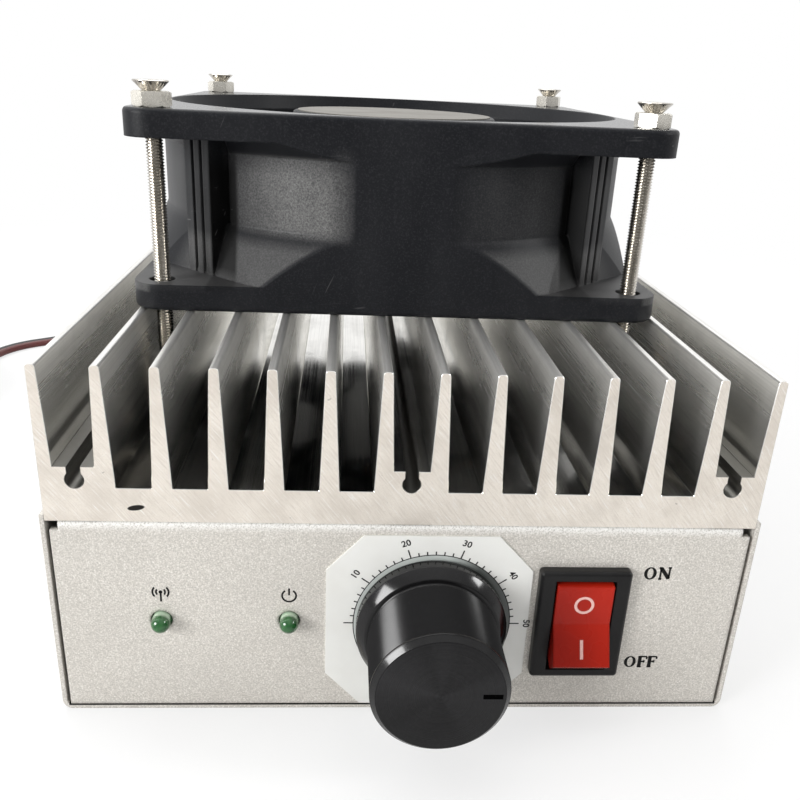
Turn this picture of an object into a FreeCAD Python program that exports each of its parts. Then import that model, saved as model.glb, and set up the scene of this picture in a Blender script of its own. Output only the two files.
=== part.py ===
"""Desktop HF linear amplifier.

A finned heatsink is the lid of a U-shaped sheet metal case. A square axial fan stands over the fins on
four long screws. The front panel carries a rotary band switch, two indicators and a rocker switch, and
the rear panel two RF sockets, a keying jack and a twin supply lead.

Millimetres. +X is to the right seen from the front, +Y to the rear, +Z up.
The origin is the centre of the case's underside.
"""
import FreeCAD
import Part

import math
import os

V = FreeCAD.Vector
UP = V(0, 0, 1)
REARWARD = V(0, 1, 0)
OUTWARD = V(0, -1, 0)

# ---------------------------------------------------------------- driving dimensions
# Clearances
touch_gap = 0.1            # between curved faces of pieces that are fixed to each other
running_gap = 0.04         # radial, shafts in their bores
swing_gap = 0.3            # around pieces that move
thread_gap = 0.05          # radial, a screw in its threaded hole
screw_gap = 0.2            # radial, a screw in a plain hole
near = 0.01                # how close an edge must lie to be picked

# Case
case_height = 35.1         # floor to the heatsink's underside
sheet = 0.7
wall_lip = 1.0             # the side walls rise this far past the seam
shell_bend = 1.6           # outside bend radius
panel_thickness = 1.0
panel_side_gap = 0.6
panel_foot_gap = 0.25
panel_notch_width = 1.3
panel_notch_height = 1.5
panel_bend = 0.7
flange_depth = 10.0

# Heatsink
heatsink_width = 109.8
heatsink_depth = 150.0
heatsink_height = 24.7
base_thickness = 5.6
fin_count = 14
edge_channel_extra = 0.5   # the two outermost channels are this much wider
fin_tip = 1.45
fin_root = 3.05
fin_bevel = 0.3
channel_radius = 0.2
raised_floor = 9.05
raised_channels = (0, 6, 12)
keyhole_radius = 1.4
keyhole_neck = 2.0
keyhole_height = 6.9
tapped_depth = 4.5

# M3 hardware
m3_radius = 1.45
m3_hole = m3_radius + thread_gap
m3_clearance = m3_radius + screw_gap
m3_pan_radius = 2.75
m3_pan_height = 1.9
m3_pan_edge = 0.76
m3_csk_radius = 2.9
m3_csk_height = 1.65
m3_nut_flats = 5.5
m3_nut_height = 2.4
nut_bevel = 1.8            # how fast a nut's corner bevel widens with its height
recess_span = 2.6
recess_width = 0.55
recess_depth = 1.0

# Fan
fan_size = 92.0
fan_height = 32.6
fan_hole_spacing = 82.5
fan_hole_radius = 2.2
fan_flange = 4.5
fan_corner = 5.0
fan_rim = 0.8              # rounding of the flanges' outer rims
fan_shift_x = -1.0
fan_shift_y = 0.5
fan_bore = 44.0
mouth_flare = 1.2
mouth_depth = 3.0
fan_barrel = 46.7
fan_core = 45.2            # outside radius of the barrel where it passes the corners
fan_panel_half = 30.0      # half width of the barrel's four thick panels
flare_top_drop = 7.1       # top flange's upper face down to where the barrel starts to flare
flare_top_reach = 50.5
flare_low_rise = 13.4      # lower flange's underside up to where the lower flare ends
flare_low_reach = 51.7
flare_corner = 50.0        # the lower flare's distance from the axis, towards a corner
pillar_width = 7.0
pillar_reach = 50.2
pillar_groove = 0.8
fan_screw_bite = 4.25      # depth of a fan screw in the heatsink's base
fan_nut_turns = (12.0, 0.0, 25.0, 8.0)
fan_screw_clear = 0.3      # kept free between a fan screw and the fins
hub_radius = 21.0
hub_wall = 1.4
hub_edge = 0.6
hub_drop = 1.4             # hub's top face below the top flange's upper face
hub_rise = 5.6             # hub's rim above the lower flange's underside
blade_count = 7
blade_gap = 0.8            # blade tip to bore
blade_top_drop = 6.0
blade_low_rise = 7.0
blade_thickness = 1.5
blade_half_chord_root = 8.0
blade_half_chord_tip = 13.0
blade_root_inset = 4.2     # where a blade's blank starts inside the hub's radius
motor_base_rise = 0.8
motor_base = 2.4
strut_width = 4.0
strut_height = 3.4
strut_inset = 2.1          # where a strut starts inside the hub's radius
strut_turn = 18.0          # degrees from +X to the first strut
bearing_radius = 4.0
bearing_width = 4.0
bearing_tube_wall = 0.8
fan_shaft_radius = 1.5
boss_radius = 3.2
boss_length = 2.4
boss_gap = 0.6
magnet_thickness = 1.8
magnet_height = 15.0
stator_height = 11.0
stator_drop = 9.3          # hub's ceiling to the stator's middle
stator_ring = 2.6
fan_board = 1.2
pole_width = 4.4
shoe_width = 13.0
shoe_thickness = 2.0
coil_wall = 2.0
coil_end_gap = 1.0
stator_gap = 0.7
label_thickness = 0.2
label_margin = 0.4

# Band switch and knob
knob_x = 4.2
knob_axis_offset = -0.3    # knob axis above the panel's mid height
knob_radius = 10.3
knob_reach = 18.1          # knob's face in front of the panel
knob_chamfer = 0.8
skirt_radius = 12.1
skirt_thickness = 3.6
skirt_gap = 0.6            # skirt's back to the panel
knob_recess_radius = 8.6
knob_recess_depth = 4.6
knob_bore_depth = 9.0
grub_length = 4.0
switch_shaft_radius = 3.0
bushing_radius = 4.5
bushing_length = 6.0
switch_radius = 12.0
switch_depth = 15.0
switch_wall = 1.4
switch_nut_flats = 12.0
switch_nut_height = 2.0
switch_washer_radius = 6.6
switch_washer = 0.5
switch_rotor_radius = 9.5
switch_disc_radius = 8.55
switch_rotor_thickness = 3.0
switch_lobe_radius = 1.6
shaft_end_gap = 0.5
switch_lug_count = 12
switch_lug_length = 4.0
switch_lug_circle = 9.5
switch_lug = (1.2, 0.4)
dial_half = (16.4, 16.05)
dial_cut = (5.8, 6.2)
dial_shift = -0.5          # its middle to the right of the knob's axis
dial_thickness = 0.3

# Rocker switch
rocker_x = 28.5
rocker_offset = 0.2        # its centre above the panel's mid height
bezel_width = 14.8
bezel_height = 20.2
bezel_thickness = 1.8
bezel_corner = 0.7
rocker_width = 9.2
rocker_half_height = 8.2
rocker_flank = 9.84        # height of the rocker's blank above its pivot
rocker_angle = 13.0
rocker_pivot_depth = 1.0   # pivot behind the panel's face
rocker_crown = 3.1         # pivot to the rocker's face at its middle
rocker_floor = 3.6         # pivot to the rocker's back
rocker_pin_radius = 1.2
rocker_pin_length = 0.9
switch_box_width = 13.2
switch_box_height = 18.8
switch_box_depth = 17.0
terminal_rise = 5.0
terminal_length = 8.0
terminal_width = 4.8
terminal_thickness = 0.8

# Indicators
led_left_x = -38.6
led_right_x = -18.5
led_offset = 0.0
led_radius = 1.5
led_hole_gap = 0.2
led_reach = 2.6
led_body = 4.0
led_collar_radius = 1.9
led_collar = 1.0
led_lead_radius = 0.25
led_lead_space = 1.4
led_lead_length = 6.0
led_clip_radius = 3.0
led_clip_length = 3.0

# Rear panel
rf_socket_xs = (34.0, 4.0)
rf_flange = 25.4
rf_flange_thickness = 1.6
rf_barrel_radius = 7.9
rf_barrel_length = 11.6
rf_barrel_bore = 6.2
rf_back_radius = 6.6
rf_back_length = 4.0
rf_insulator_recess = 5.6
rf_contact_radius = 2.6
rf_contact_bore = 2.0
rf_contact_length = 18.0
rf_contact_depth = 10.0
rf_screw_tail = 1.0        # a socket screw's end past its nut
rf_screw_spacing = 18.2
ptt_x = -19.5
ptt_radius = 4.1
ptt_length = 8.5
ptt_flange_radius = 6.0
ptt_flange = 1.5
ptt_wall = 0.9
ptt_recess = 0.6
ptt_bore = 1.6
ptt_back = 5.0
ptt_nut_flats = 10.2
ptt_nut = 2.0
lead_x = -38.0
lead_offset = -0.2

# Supply lead: a flat twin lead that lies on its broad side
lead_width = 4.4
lead_core = 2.2
grommet_flange_radius = 5.6
grommet_flange = 1.5
grommet_neck_radius = 4.4
grommet_nose_radius = 3.4
grommet_nose = 4.5
coil_mid_radius = 24.0
coil_turns_across = 2
coil_turns_high = 3
coil_slack = 0.15
coil_edge = 1.0
tie_width = 3.0
tie_thickness = 0.9
tie_gap = 0.1
arc_share = 0.45           # of the shorter run, taken by each arc between two runs
connector_length = 16.0
connector_width = 8.0
connector_height = 5.0
socket_length = 6.0
socket_width = 2.6

# Inside
pillar_flats = 5.5
pillar_stud = 4.0
pillar_inset_x = 5.2
pillar_inset_y = 17.0
bottom_screw_bite = 7.3    # depth of a bottom screw in its pillar
screw_end_gap = 1.0
panel_screw_inset = 12.3
panel_screw_edge = 3.8
panel_screw_bite = 4.0
board_side_gap = 7.9       # board's edge to the side wall
board_depth = 96.0
board_thickness = 1.6
board_shift_y = 2.0
board_hang = 7.0           # heatsink's underside to the board's top face
driver_hole_radius = 3.25  # holes in the board under the transistors' screws
board_inset_x = 4.0
board_inset_y = 14.0
board_screw_bite = 3.4
spacer_radius = 2.7
relay_size = (15.5, 19.0, 15.0)
relay_edge = 0.8
toroid_outer = 6.35
toroid_inner = 3.85
toroid_height = 4.85
toroid_space = 0.6
winding_thickness = 0.8
winding_sweep = 290.0
capacitor_radius = 5.0
capacitor_height = 16.0
capacitor_space = 2.0
capacitor_edge = 0.7
trimmer_size = (6.6, 7.0, 3.6)
trimmer_slot = (0.6, 3.0)
tab_size = (10.0, 15.6, 1.3)
transistor_body = (10.0, 9.2, 3.2)
transistor_pad = 0.3
pad_margin = 0.5
tab_hole_edge = 3.2
device_lead = 0.6
device_lead_pitch = 2.54
device_lead_reach = 3.0
transistor_x = 13.0
transistor_screw_bite = 4.0
big_core = (28.0, 14.0, 13.0)
small_core = (16.0, 12.0, 9.0)
core_bore = 0.28           # bore radius as a share of the core's height
core_edge = 1.5
bridge_gap = 0.4
bridge_thickness = 1.2

# Places on the board, as shares of its width and depth from its middle
relay_columns = (-0.33, -0.14)
relay_rows = (-0.33, 0.31)
toroid_start = (0.03, 0.24)
big_core_place = (0.13, -0.38)
small_core_place = (0.36, -0.19)
capacitor_column = -0.41
trimmer_columns = (-0.05, 0.05)
trimmer_row = 0.1

# ---------------------------------------------------------------- places worked out from them
front = -heatsink_depth / 2
rear = heatsink_depth / 2
case_width = heatsink_width + 2 * sheet
seam = case_height
floor_level = seam + base_thickness
fin_top = seam + heatsink_height
fin_pitch = (heatsink_width - fin_tip - 2 * edge_channel_extra) / (fin_count - 1)
control_level = case_height / 2
fan_bottom = fin_top
fan_top = fan_bottom + fan_height
fan_screw_top = fan_top + m3_nut_height + m3_csk_height
fan_screw_length = fan_screw_top - floor_level + fan_screw_bite
fan_axis = V(fan_shift_x, fan_shift_y, 0)
knob_level = control_level + knob_axis_offset
led_level = control_level + led_offset
panel_half = heatsink_width / 2 - panel_side_gap
switch_bore = switch_shaft_radius + running_gap
board_width = heatsink_width - 2 * board_side_gap
board_top = seam - board_hang
board_bottom = board_top - board_thickness
lead_level = control_level + lead_offset
lead_lies = lead_core / 2
grommet_end = rear + grommet_flange + grommet_nose
bottom_screw_length = sheet + bottom_screw_bite
panel_screw_length = panel_thickness + panel_screw_bite
board_screw_length = board_thickness + board_hang + board_screw_bite
transistor_screw_length = tab_size[2] + transistor_pad + transistor_screw_bite
rf_screw_length = rf_flange_thickness + panel_thickness + m3_nut_height + rf_screw_tail


# ---------------------------------------------------------------- helpers
def block(x, y, z):
    """Box between pairs of low and high coordinates."""
    return Part.makeBox(x[1] - x[0], y[1] - y[0], z[1] - z[0], V(x[0], y[0], z[0]))


def centred(size, middle, z):
    """Box of a width and a depth about a middle point, between two levels."""
    half_x, half_y = size[0] / 2, size[1] / 2
    return block((middle[0] - half_x, middle[0] + half_x), (middle[1] - half_y, middle[1] + half_y), z)


def rod(radius, start, end):
    """Cylinder from one point to another."""
    along = end.sub(start)
    return Part.makeCylinder(radius, along.Length, start, along)


def cone(start_radius, end_radius, start, end):
    """Truncated cone from one point to another."""
    along = end.sub(start)
    return Part.makeCone(start_radius, end_radius, along.Length, start, along)


def pipe(outer, inner, start, end):
    """Straight tube from one point to another."""
    return rod(outer, start, end).cut(rod(inner, start, end))


def prism(points, along):
    """Straight prism of a closed outline."""
    return Part.Face(Part.makePolygon(list(points) + [points[0]])).extrude(along)


def hexagon(flats, start, end, turn=0.0):
    """Hexagonal prism about an axis that lies along Y or Z."""
    along = end.sub(start)
    radius = flats / math.sqrt(3)
    upright = abs(along.z) > abs(along.y)
    points = []
    for corner in range(6):
        angle = math.radians(turn + 60 * corner)
        across, second = radius * math.cos(angle), radius * math.sin(angle)
        points.append(start.add(V(across, second, 0) if upright else V(across, 0, second)))
    return prism(points, along)


def join(shapes):
    """One solid of several that touch."""
    return shapes[0].multiFuse(list(shapes[1:])).removeSplitter()


def round_edges(shape, radius, chosen):
    """Fillet the edges that a test picks."""
    edges = [edge for edge in shape.Edges if chosen(edge)]
    return shape.makeFillet(radius, edges)


def runs_along(edge, axis):
    """Whether a straight edge lies along an axis."""
    if not isinstance(edge.Curve, Part.Line):
        return False
    return abs(edge.tangentAt(edge.FirstParameter).dot(axis)) > 0.999


def turned(shape, degrees, centre, axis=UP):
    """Copy of a shape turned about an axis."""
    copy = shape.copy()
    copy.rotate(centre, axis, degrees)
    return copy


def moved(shape, offset):
    """Copy of a shape shifted by a vector."""
    copy = shape.copy()
    copy.translate(offset)
    return copy


def save(node, shapes):
    """Write one node's solids to its STEP file."""
    solids = []
    for shape in shapes if isinstance(shapes, (list, tuple)) else [shapes]:
        solids.extend(shape.Solids)
    result = solids[0] if len(solids) == 1 else Part.makeCompound(solids)
    if not result.isValid():
        print("INVALID", node)
    result.exportStep(os.path.join("parts", node + ".step"))
    print("%-24s %2d solids %10.1f mm3" % (node, len(solids), sum(solid.Volume for solid in solids)))


def four_corners(half_x, half_y):
    """The four corners of a rectangle about the origin."""
    return [(sx * half_x, sy * half_y) for sx in (-1, 1) for sy in (-1, 1)]


# ---------------------------------------------------------------- screws and nuts
def cross_recess(top, inward):
    """Cutter for a cross recess that starts at a head's top face."""
    along = V(inward)
    along.normalize()
    sideways = V(1, 0, 0) if abs(along.x) < 0.5 else V(0, 1, 0)
    upright = along.cross(sideways)
    bars = []
    for first, second in ((sideways, upright), (upright, sideways)):
        corner = top.sub(first * (recess_span / 2)).sub(second * (recess_width / 2))
        outline = [corner, corner.add(first * recess_span)]
        outline.append(outline[1].add(second * recess_width))
        outline.append(corner.add(second * recess_width))
        bars.append(prism(outline, along * recess_depth))
    return join(bars)


def pan_screw(seat, inward, length):
    """Pan head M3 screw whose head sits on a point, with its shank pointing inward."""
    along = V(inward)
    along.normalize()
    top = seat.sub(along * m3_pan_height)
    head = rod(m3_pan_radius, top, seat)
    rim = [edge for edge in head.Edges if isinstance(edge.Curve, Part.Circle)]
    rim = [edge for edge in rim if edge.CenterOfMass.sub(top).Length < near]
    head = head.makeFillet(m3_pan_edge, rim)
    shank = rod(m3_radius, seat, seat.add(along * length))
    return join([head, shank]).cut(cross_recess(top, along))


def countersunk_screw(top, inward, length):
    """Countersunk M3 screw whose flat top is at a point; the length counts the head."""
    along = V(inward)
    along.normalize()
    neck = top.add(along * m3_csk_height)
    head = cone(m3_csk_radius, m3_radius, top, neck)
    shank = rod(m3_radius, neck, top.add(along * length))
    return join([head, shank]).cut(cross_recess(top, along))


def nut(flats, bore, start, end, turn=0.0):
    """Hexagon nut between two points, its corners bevelled at both faces."""
    body = hexagon(flats, start, end, turn)
    rise = end.sub(start) / 2
    middle = start.add(rise)
    narrow, wide = flats / 2, flats / 2 + rise.Length * nut_bevel
    limit = join([cone(narrow, wide, start, middle), cone(wide, narrow, middle, end)])
    return body.common(limit).cut(rod(bore, start, end))


# ---------------------------------------------------------------- heatsink
def fin_centre(index):
    """X of a fin's middle; the outermost fins stand a little further out."""
    middle = (index - (fin_count - 1) / 2) * fin_pitch
    if index == 0:
        middle -= edge_channel_extra
    if index == fin_count - 1:
        middle += edge_channel_extra
    return middle


def channel_centre(index):
    """X of a channel's middle."""
    return (fin_centre(index) + fin_centre(index + 1)) / 2


def heatsink_outline():
    """Cross-section of base and fins without the keyhole slots, as points in X and Z."""
    half = heatsink_width / 2
    points = [(-half, seam)]
    for index in range(fin_count):
        middle = fin_centre(index)
        left_tip, right_tip = middle - fin_tip / 2, middle + fin_tip / 2
        if index > 0:
            left_floor = seam + (raised_floor if index - 1 in raised_channels else base_thickness)
            points.append((middle - half_fin_at(left_floor), left_floor))
        points.append((-half if index == 0 else left_tip, fin_top - fin_bevel))
        points.append((left_tip + fin_bevel, fin_top))
        points.append((right_tip - fin_bevel, fin_top))
        points.append((half if index == fin_count - 1 else right_tip, fin_top - fin_bevel))
        if index < fin_count - 1:
            right_floor = seam + (raised_floor if index in raised_channels else base_thickness)
            points.append((middle + half_fin_at(right_floor), right_floor))
    points.append((half, seam))
    return points


def half_fin_at(level):
    """Half of a fin's thickness at a level, tapering from root to tip."""
    share = (level - floor_level) / (fin_top - floor_level)
    return (fin_root + (fin_tip - fin_root) * share) / 2


def fan_screw_places():
    """X and Y of the four fan screws."""
    half = fan_hole_spacing / 2
    return [(fan_axis.x + x, fan_axis.y + y) for x, y in four_corners(half, half)]


def pillar_places():
    """X and Y of the four case pillars."""
    return four_corners(heatsink_width / 2 - pillar_inset_x, heatsink_depth / 2 - pillar_inset_y)


def panel_screw_places():
    """X and Y of the screws in the panels' flanges."""
    half_y = heatsink_depth / 2 - flange_depth + panel_screw_edge
    return four_corners(panel_half - panel_screw_inset, half_y)


def board_screw_places():
    """X and Y of the board's four fixing screws."""
    corners = four_corners(board_width / 2 - board_inset_x, board_depth / 2 - board_inset_y)
    return [(x, y + board_shift_y) for x, y in corners]


def transistor_places():
    """X and Y of the two transistor screws."""
    return [(x, board_shift_y) for x in (-transistor_x, transistor_x)]


def make_heatsink():
    """Extruded heatsink with its keyhole slots, rounded channel floors and tapped holes."""
    points = [V(x, front, z) for x, z in heatsink_outline()]
    body = prism(points, REARWARD * heatsink_depth)
    plain = [i for i in range(fin_count - 1) if i not in raised_channels]
    roots = []
    for index in plain:
        for side, fin in ((1, index), (-1, index + 1)):
            roots.append(fin_centre(fin) + side * half_fin_at(floor_level))

    def at_root(edge):
        middle = edge.CenterOfMass
        if abs(middle.z - floor_level) > near or not runs_along(edge, REARWARD):
            return False
        return any(abs(middle.x - root) < near for root in roots)

    body = round_edges(body, channel_radius, at_root)
    cutters = []
    for index in raised_channels:
        middle = channel_centre(index)
        level = seam + keyhole_height
        cutters.append(rod(keyhole_radius, V(middle, front, level), V(middle, rear, level)))
        neck = (middle - keyhole_neck / 2, middle + keyhole_neck / 2)
        cutters.append(block(neck, (front, rear), (level, seam + raised_floor)))
    for x, y in fan_screw_places():
        cutters.append(rod(m3_hole, V(x, y, seam), V(x, y, fin_top)))
        cutters.append(rod(m3_radius + fan_screw_clear, V(x, y, floor_level), V(x, y, fin_top)))
    for x, y in pillar_places() + panel_screw_places() + board_screw_places() + transistor_places():
        cutters.append(rod(m3_hole, V(x, y, seam), V(x, y, seam + tapped_depth)))
    return body.cut(cutters)


# ---------------------------------------------------------------- case
def make_case_shell():
    """Bottom and both side walls in one bent sheet, with holes for the bottom screws."""
    top = seam + wall_lip
    outer = block((-case_width / 2, case_width / 2), (front, rear), (0, top))
    inner = block((-heatsink_width / 2, heatsink_width / 2), (front, rear), (sheet, top))

    def low_long(edge):
        return runs_along(edge, REARWARD) and edge.CenterOfMass.z < sheet + near

    outer = round_edges(outer, shell_bend, low_long)
    inner = round_edges(inner, shell_bend - sheet, low_long)
    shell = outer.cut(inner)
    return shell.cut([csk_cutter(x, y) for x, y in pillar_places()])


def csk_cutter(x, y):
    """Countersink and bore for a bottom screw, cut out of sheet and pillar alike."""
    head = cone(m3_csk_radius + touch_gap, m3_hole, V(x, y, 0), V(x, y, m3_csk_height + touch_gap))
    return join([head, rod(m3_hole, V(x, y, 0), V(x, y, bottom_screw_length + screw_end_gap))])


def make_case_pillars():
    """Hexagonal pillars from the case's floor to the heatsink, each with a stud at its top."""
    pillars = []
    for x, y in pillar_places():
        body = hexagon(pillar_flats, V(x, y, sheet), V(x, y, seam))
        stud = rod(m3_radius, V(x, y, seam), V(x, y, seam + pillar_stud))
        pillars.append(join([body, stud]).cut(csk_cutter(x, y)))
    return pillars


def make_bottom_screws():
    """Countersunk screws that hold the shell to the pillars."""
    return [countersunk_screw(V(x, y, 0), UP, bottom_screw_length) for x, y in pillar_places()]


def make_panel_blank():
    """Front panel before its holes: plate, folded top flange and relieved top corners."""
    foot = sheet + panel_foot_gap
    plate = block((-panel_half, panel_half), (front, front + panel_thickness), (foot, seam))
    flange_half = panel_half - panel_notch_width
    flange = block((-flange_half, flange_half), (front, front + flange_depth), (seam - panel_thickness, seam))
    blank = join([plate, flange])
    notch_top = (seam - panel_notch_height, seam)
    notches = []
    for side in (-1, 1):
        xs = sorted((side * panel_half, side * (panel_half - panel_notch_width)))
        notches.append(block(xs, (front, front + panel_thickness), notch_top))
    blank = blank.cut(notches)

    def fold(edge):
        middle = edge.CenterOfMass
        return runs_along(edge, V(1, 0, 0)) and abs(middle.z - seam) < near and middle.y < front + near

    return round_edges(blank, panel_bend, fold)


def make_front_panel():
    """Front panel with holes for switch, knob and indicators."""
    holes = []
    for x, y in panel_screw_places():
        holes.append(rod(m3_clearance, V(x, y, 0), V(x, y, seam)))
    holes.append(through_panel(bushing_radius + touch_gap, knob_x, knob_level))
    for x in (led_left_x, led_right_x):
        holes.append(through_panel(led_radius + led_hole_gap, x, led_level))
    level = rocker_level()
    half_z = switch_box_height / 2 + touch_gap
    window = block(rocker_span(switch_box_width / 2 + touch_gap), (front, front + panel_thickness),
                   (level - half_z, level + half_z))
    holes.append(window)
    return make_panel_blank().cut(holes)


def through_panel(radius, x, z):
    """Cutter for a round hole in the front panel's plate."""
    return rod(radius, V(x, front, z), V(x, front + panel_thickness, z))


def make_rear_panel():
    """Rear panel: the same blank turned round, with holes for sockets, jack and grommet."""
    blank = turned(make_panel_blank(), 180, V(0, 0, 0))
    inner = rear - panel_thickness
    holes = []
    for x, y in panel_screw_places():
        holes.append(rod(m3_clearance, V(x, y, 0), V(x, y, seam)))
    for x in rf_socket_xs:
        holes.append(rod(rf_back_radius + touch_gap, V(x, inner, control_level), V(x, rear, control_level)))
        for dx, dz in four_corners(rf_screw_spacing / 2, rf_screw_spacing / 2):
            place = V(x + dx, inner, control_level + dz)
            holes.append(rod(m3_clearance, place, place.add(REARWARD * panel_thickness)))
    holes.append(rod(ptt_radius + touch_gap, V(ptt_x, inner, control_level), V(ptt_x, rear, control_level)))
    neck = rod(grommet_neck_radius + touch_gap, V(lead_x, inner, lead_level), V(lead_x, rear, lead_level))
    holes.append(neck)
    return blank.cut(holes)


def make_panel_screws():
    """Pan head screws through the panels' flanges into the heatsink."""
    under = seam - panel_thickness
    return [pan_screw(V(x, y, under), UP, panel_screw_length) for x, y in panel_screw_places()]


# ---------------------------------------------------------------- front controls
def make_dial_plate():
    """Octagonal sticker with a hole for the bushing."""
    half_x, half_z = dial_half
    cut_x, cut_z = dial_cut
    outline = []
    for sx, sz in ((1, 1), (-1, 1), (-1, -1), (1, -1)):
        pair = [(sx * half_x, sz * (half_z - cut_z)), (sx * (half_x - cut_x), sz * half_z)]
        outline.extend(pair if sx * sz > 0 else reversed(pair))
    middle = knob_x + dial_shift
    points = [V(middle + x, front - dial_thickness, knob_level + z) for x, z in outline]
    plate = prism(points, REARWARD * dial_thickness)
    hole = rod(bushing_radius + touch_gap, V(knob_x, front - dial_thickness, knob_level),
               V(knob_x, front, knob_level))
    return plate.cut(hole)


def on_knob_axis(reach):
    """Point on the knob's axis, a distance in front of the panel's face."""
    return V(knob_x, front - reach, knob_level)


def make_knob():
    """Turned knob: skirt, chamfered body, a recess over the nut and a bore for the shaft."""
    skirt = rod(skirt_radius, on_knob_axis(skirt_gap), on_knob_axis(skirt_gap + skirt_thickness))
    body = rod(knob_radius, on_knob_axis(skirt_gap), on_knob_axis(knob_reach - knob_chamfer))
    nose = cone(knob_radius, knob_radius - knob_chamfer, on_knob_axis(knob_reach - knob_chamfer),
                on_knob_axis(knob_reach))
    recess = rod(knob_recess_radius, on_knob_axis(skirt_gap), on_knob_axis(skirt_gap + knob_recess_depth))
    bore = rod(switch_bore, on_knob_axis(skirt_gap), on_knob_axis(knob_bore_end()))
    start = on_knob_axis(grub_reach())
    hole = rod(m3_hole, start, start.sub(UP * knob_radius))
    return join([skirt, body, nose]).cut([recess, bore, hole])


def knob_bore_end():
    """How far in front of the panel the knob's bore ends."""
    return skirt_gap + knob_recess_depth + knob_bore_depth


def grub_reach():
    """How far in front of the panel the grub screw's axis lies."""
    return skirt_gap + knob_recess_depth + knob_bore_depth / 2


def make_knob_grub_screw():
    """Headless screw that clamps the knob on the shaft."""
    start = on_knob_axis(grub_reach()).sub(UP * (switch_shaft_radius + running_gap))
    end = start.sub(UP * grub_length)
    return rod(m3_radius, start, end).cut(cross_recess(end, UP))


def make_band_switch_shaft():
    """Shaft from the switch's rotor to the knob."""
    back = -panel_thickness - switch_depth + switch_wall + shaft_end_gap
    return rod(switch_shaft_radius, on_knob_axis(back), on_knob_axis(knob_bore_end() - shaft_end_gap))


def make_band_switch_rotor():
    """Contact carrier on the shaft, with one wiper lobe."""
    back = -panel_thickness - switch_depth / 2 - switch_rotor_thickness / 2
    disc = rod(switch_disc_radius, on_knob_axis(back), on_knob_axis(back + switch_rotor_thickness))
    lobe = rod(switch_lobe_radius, on_knob_axis(back), on_knob_axis(back + switch_rotor_thickness))
    lobe.translate(V(switch_rotor_radius - switch_lobe_radius, 0, 0))
    shaft = rod(switch_shaft_radius, on_knob_axis(back), on_knob_axis(back + switch_rotor_thickness))
    return join([disc, lobe]).cut(shaft)


def make_band_switch_body():
    """Hollow switch body with its threaded bushing."""
    back = on_knob_axis(-panel_thickness - switch_depth)
    face = on_knob_axis(-panel_thickness)
    can = rod(switch_radius, back, face)
    inner_face = face.add(REARWARD * switch_wall)
    tip = on_knob_axis(bushing_length - panel_thickness)
    hollow = rod(switch_radius - switch_wall, back.sub(REARWARD * switch_wall), inner_face)
    bushing = rod(bushing_radius, inner_face, tip)
    bore = rod(switch_bore, inner_face, tip)
    return join([can.cut(hollow), bushing]).cut(bore)


def make_band_switch_washer():
    """Flat washer between the dial plate and the nut."""
    start = dial_thickness
    return pipe(switch_washer_radius, bushing_radius + touch_gap, on_knob_axis(start),
                on_knob_axis(start + switch_washer))


def make_band_switch_nut():
    """Nut that clamps the switch to the panel, inside the knob's recess."""
    start = dial_thickness + switch_washer
    return nut(switch_nut_flats, bushing_radius + thread_gap, on_knob_axis(start),
               on_knob_axis(start + switch_nut_height))


def make_band_switch_lugs():
    """Solder lugs in a ring behind the switch."""
    back = -panel_thickness - switch_depth
    lugs = []
    for index in range(switch_lug_count):
        half_x, half_z = switch_lug[0] / 2, switch_lug[1] / 2
        lug = block((-half_x, half_x), (front - back, front - back + switch_lug_length), (-half_z, half_z))
        lug.translate(V(knob_x, 0, knob_level + switch_lug_circle))
        lugs.append(turned(lug, 360 * index / switch_lug_count, on_knob_axis(0), REARWARD))
    return lugs


def rocker_level():
    """Height of the rocker switch's centre."""
    return control_level + rocker_offset


def rocker_pivot():
    """Centre of the rocker's pivot."""
    return V(rocker_x, front + rocker_pivot_depth, rocker_level())


def rocker_span(half_width):
    """Pair of X values about the rocker's middle."""
    return (rocker_x - half_width, rocker_x + half_width)


def make_power_switch_body():
    """Bezel and box of the rocker switch, hollow around the rocker, with pivot holes."""
    level = rocker_level()
    bezel = block(rocker_span(bezel_width / 2), (front - bezel_thickness, front),
                  (level - bezel_height / 2, level + bezel_height / 2))

    def outer_corner(edge):
        middle = edge.CenterOfMass
        return runs_along(edge, REARWARD) or middle.y < front - bezel_thickness + near

    bezel = round_edges(bezel, bezel_corner, outer_corner)
    box = block(rocker_span(switch_box_width / 2), (front, front + switch_box_depth),
                (level - switch_box_height / 2, level + switch_box_height / 2))
    opening_half = rocker_half_height + swing_gap
    depth = rocker_pivot_depth + math.hypot(rocker_floor, rocker_half_height / 2) + swing_gap
    opening = block(rocker_span(rocker_width / 2 + swing_gap), (front - bezel_thickness, front + depth),
                    (level - opening_half, level + opening_half))
    pivot = rocker_pivot()
    reach = rocker_width / 2 + rocker_pin_length + swing_gap
    pins = rod(rocker_pin_radius + running_gap, pivot.sub(V(reach, 0, 0)), pivot.add(V(reach, 0, 0)))
    return join([bezel, box]).cut([opening, pins])


def make_power_switch_rocker():
    """Rocker with two flat faces that meet in a shallow valley, pressed in at the top."""
    pivot = rocker_pivot()
    slope = math.tan(math.radians(rocker_angle))
    rise = rocker_flank * slope
    outline = [(-rocker_crown - rise, rocker_flank), (-rocker_crown, 0),
               (-rocker_crown - rise, -rocker_flank), (rocker_floor, -rocker_half_height / 2),
               (rocker_floor, rocker_half_height / 2)]
    start = pivot.x - rocker_width / 2
    points = [V(start, pivot.y + y, pivot.z + z) for y, z in outline]
    wedge = prism(points, V(rocker_width, 0, 0))
    drum = rod(rocker_half_height, V(start, pivot.y, pivot.z), V(start + rocker_width, pivot.y, pivot.z))
    reach = rocker_width / 2 + rocker_pin_length
    pins = rod(rocker_pin_radius, pivot.sub(V(reach, 0, 0)), pivot.add(V(reach, 0, 0)))
    rocker = join([wedge.common(drum), pins])
    return turned(rocker, -rocker_angle, pivot, V(1, 0, 0))


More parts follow.
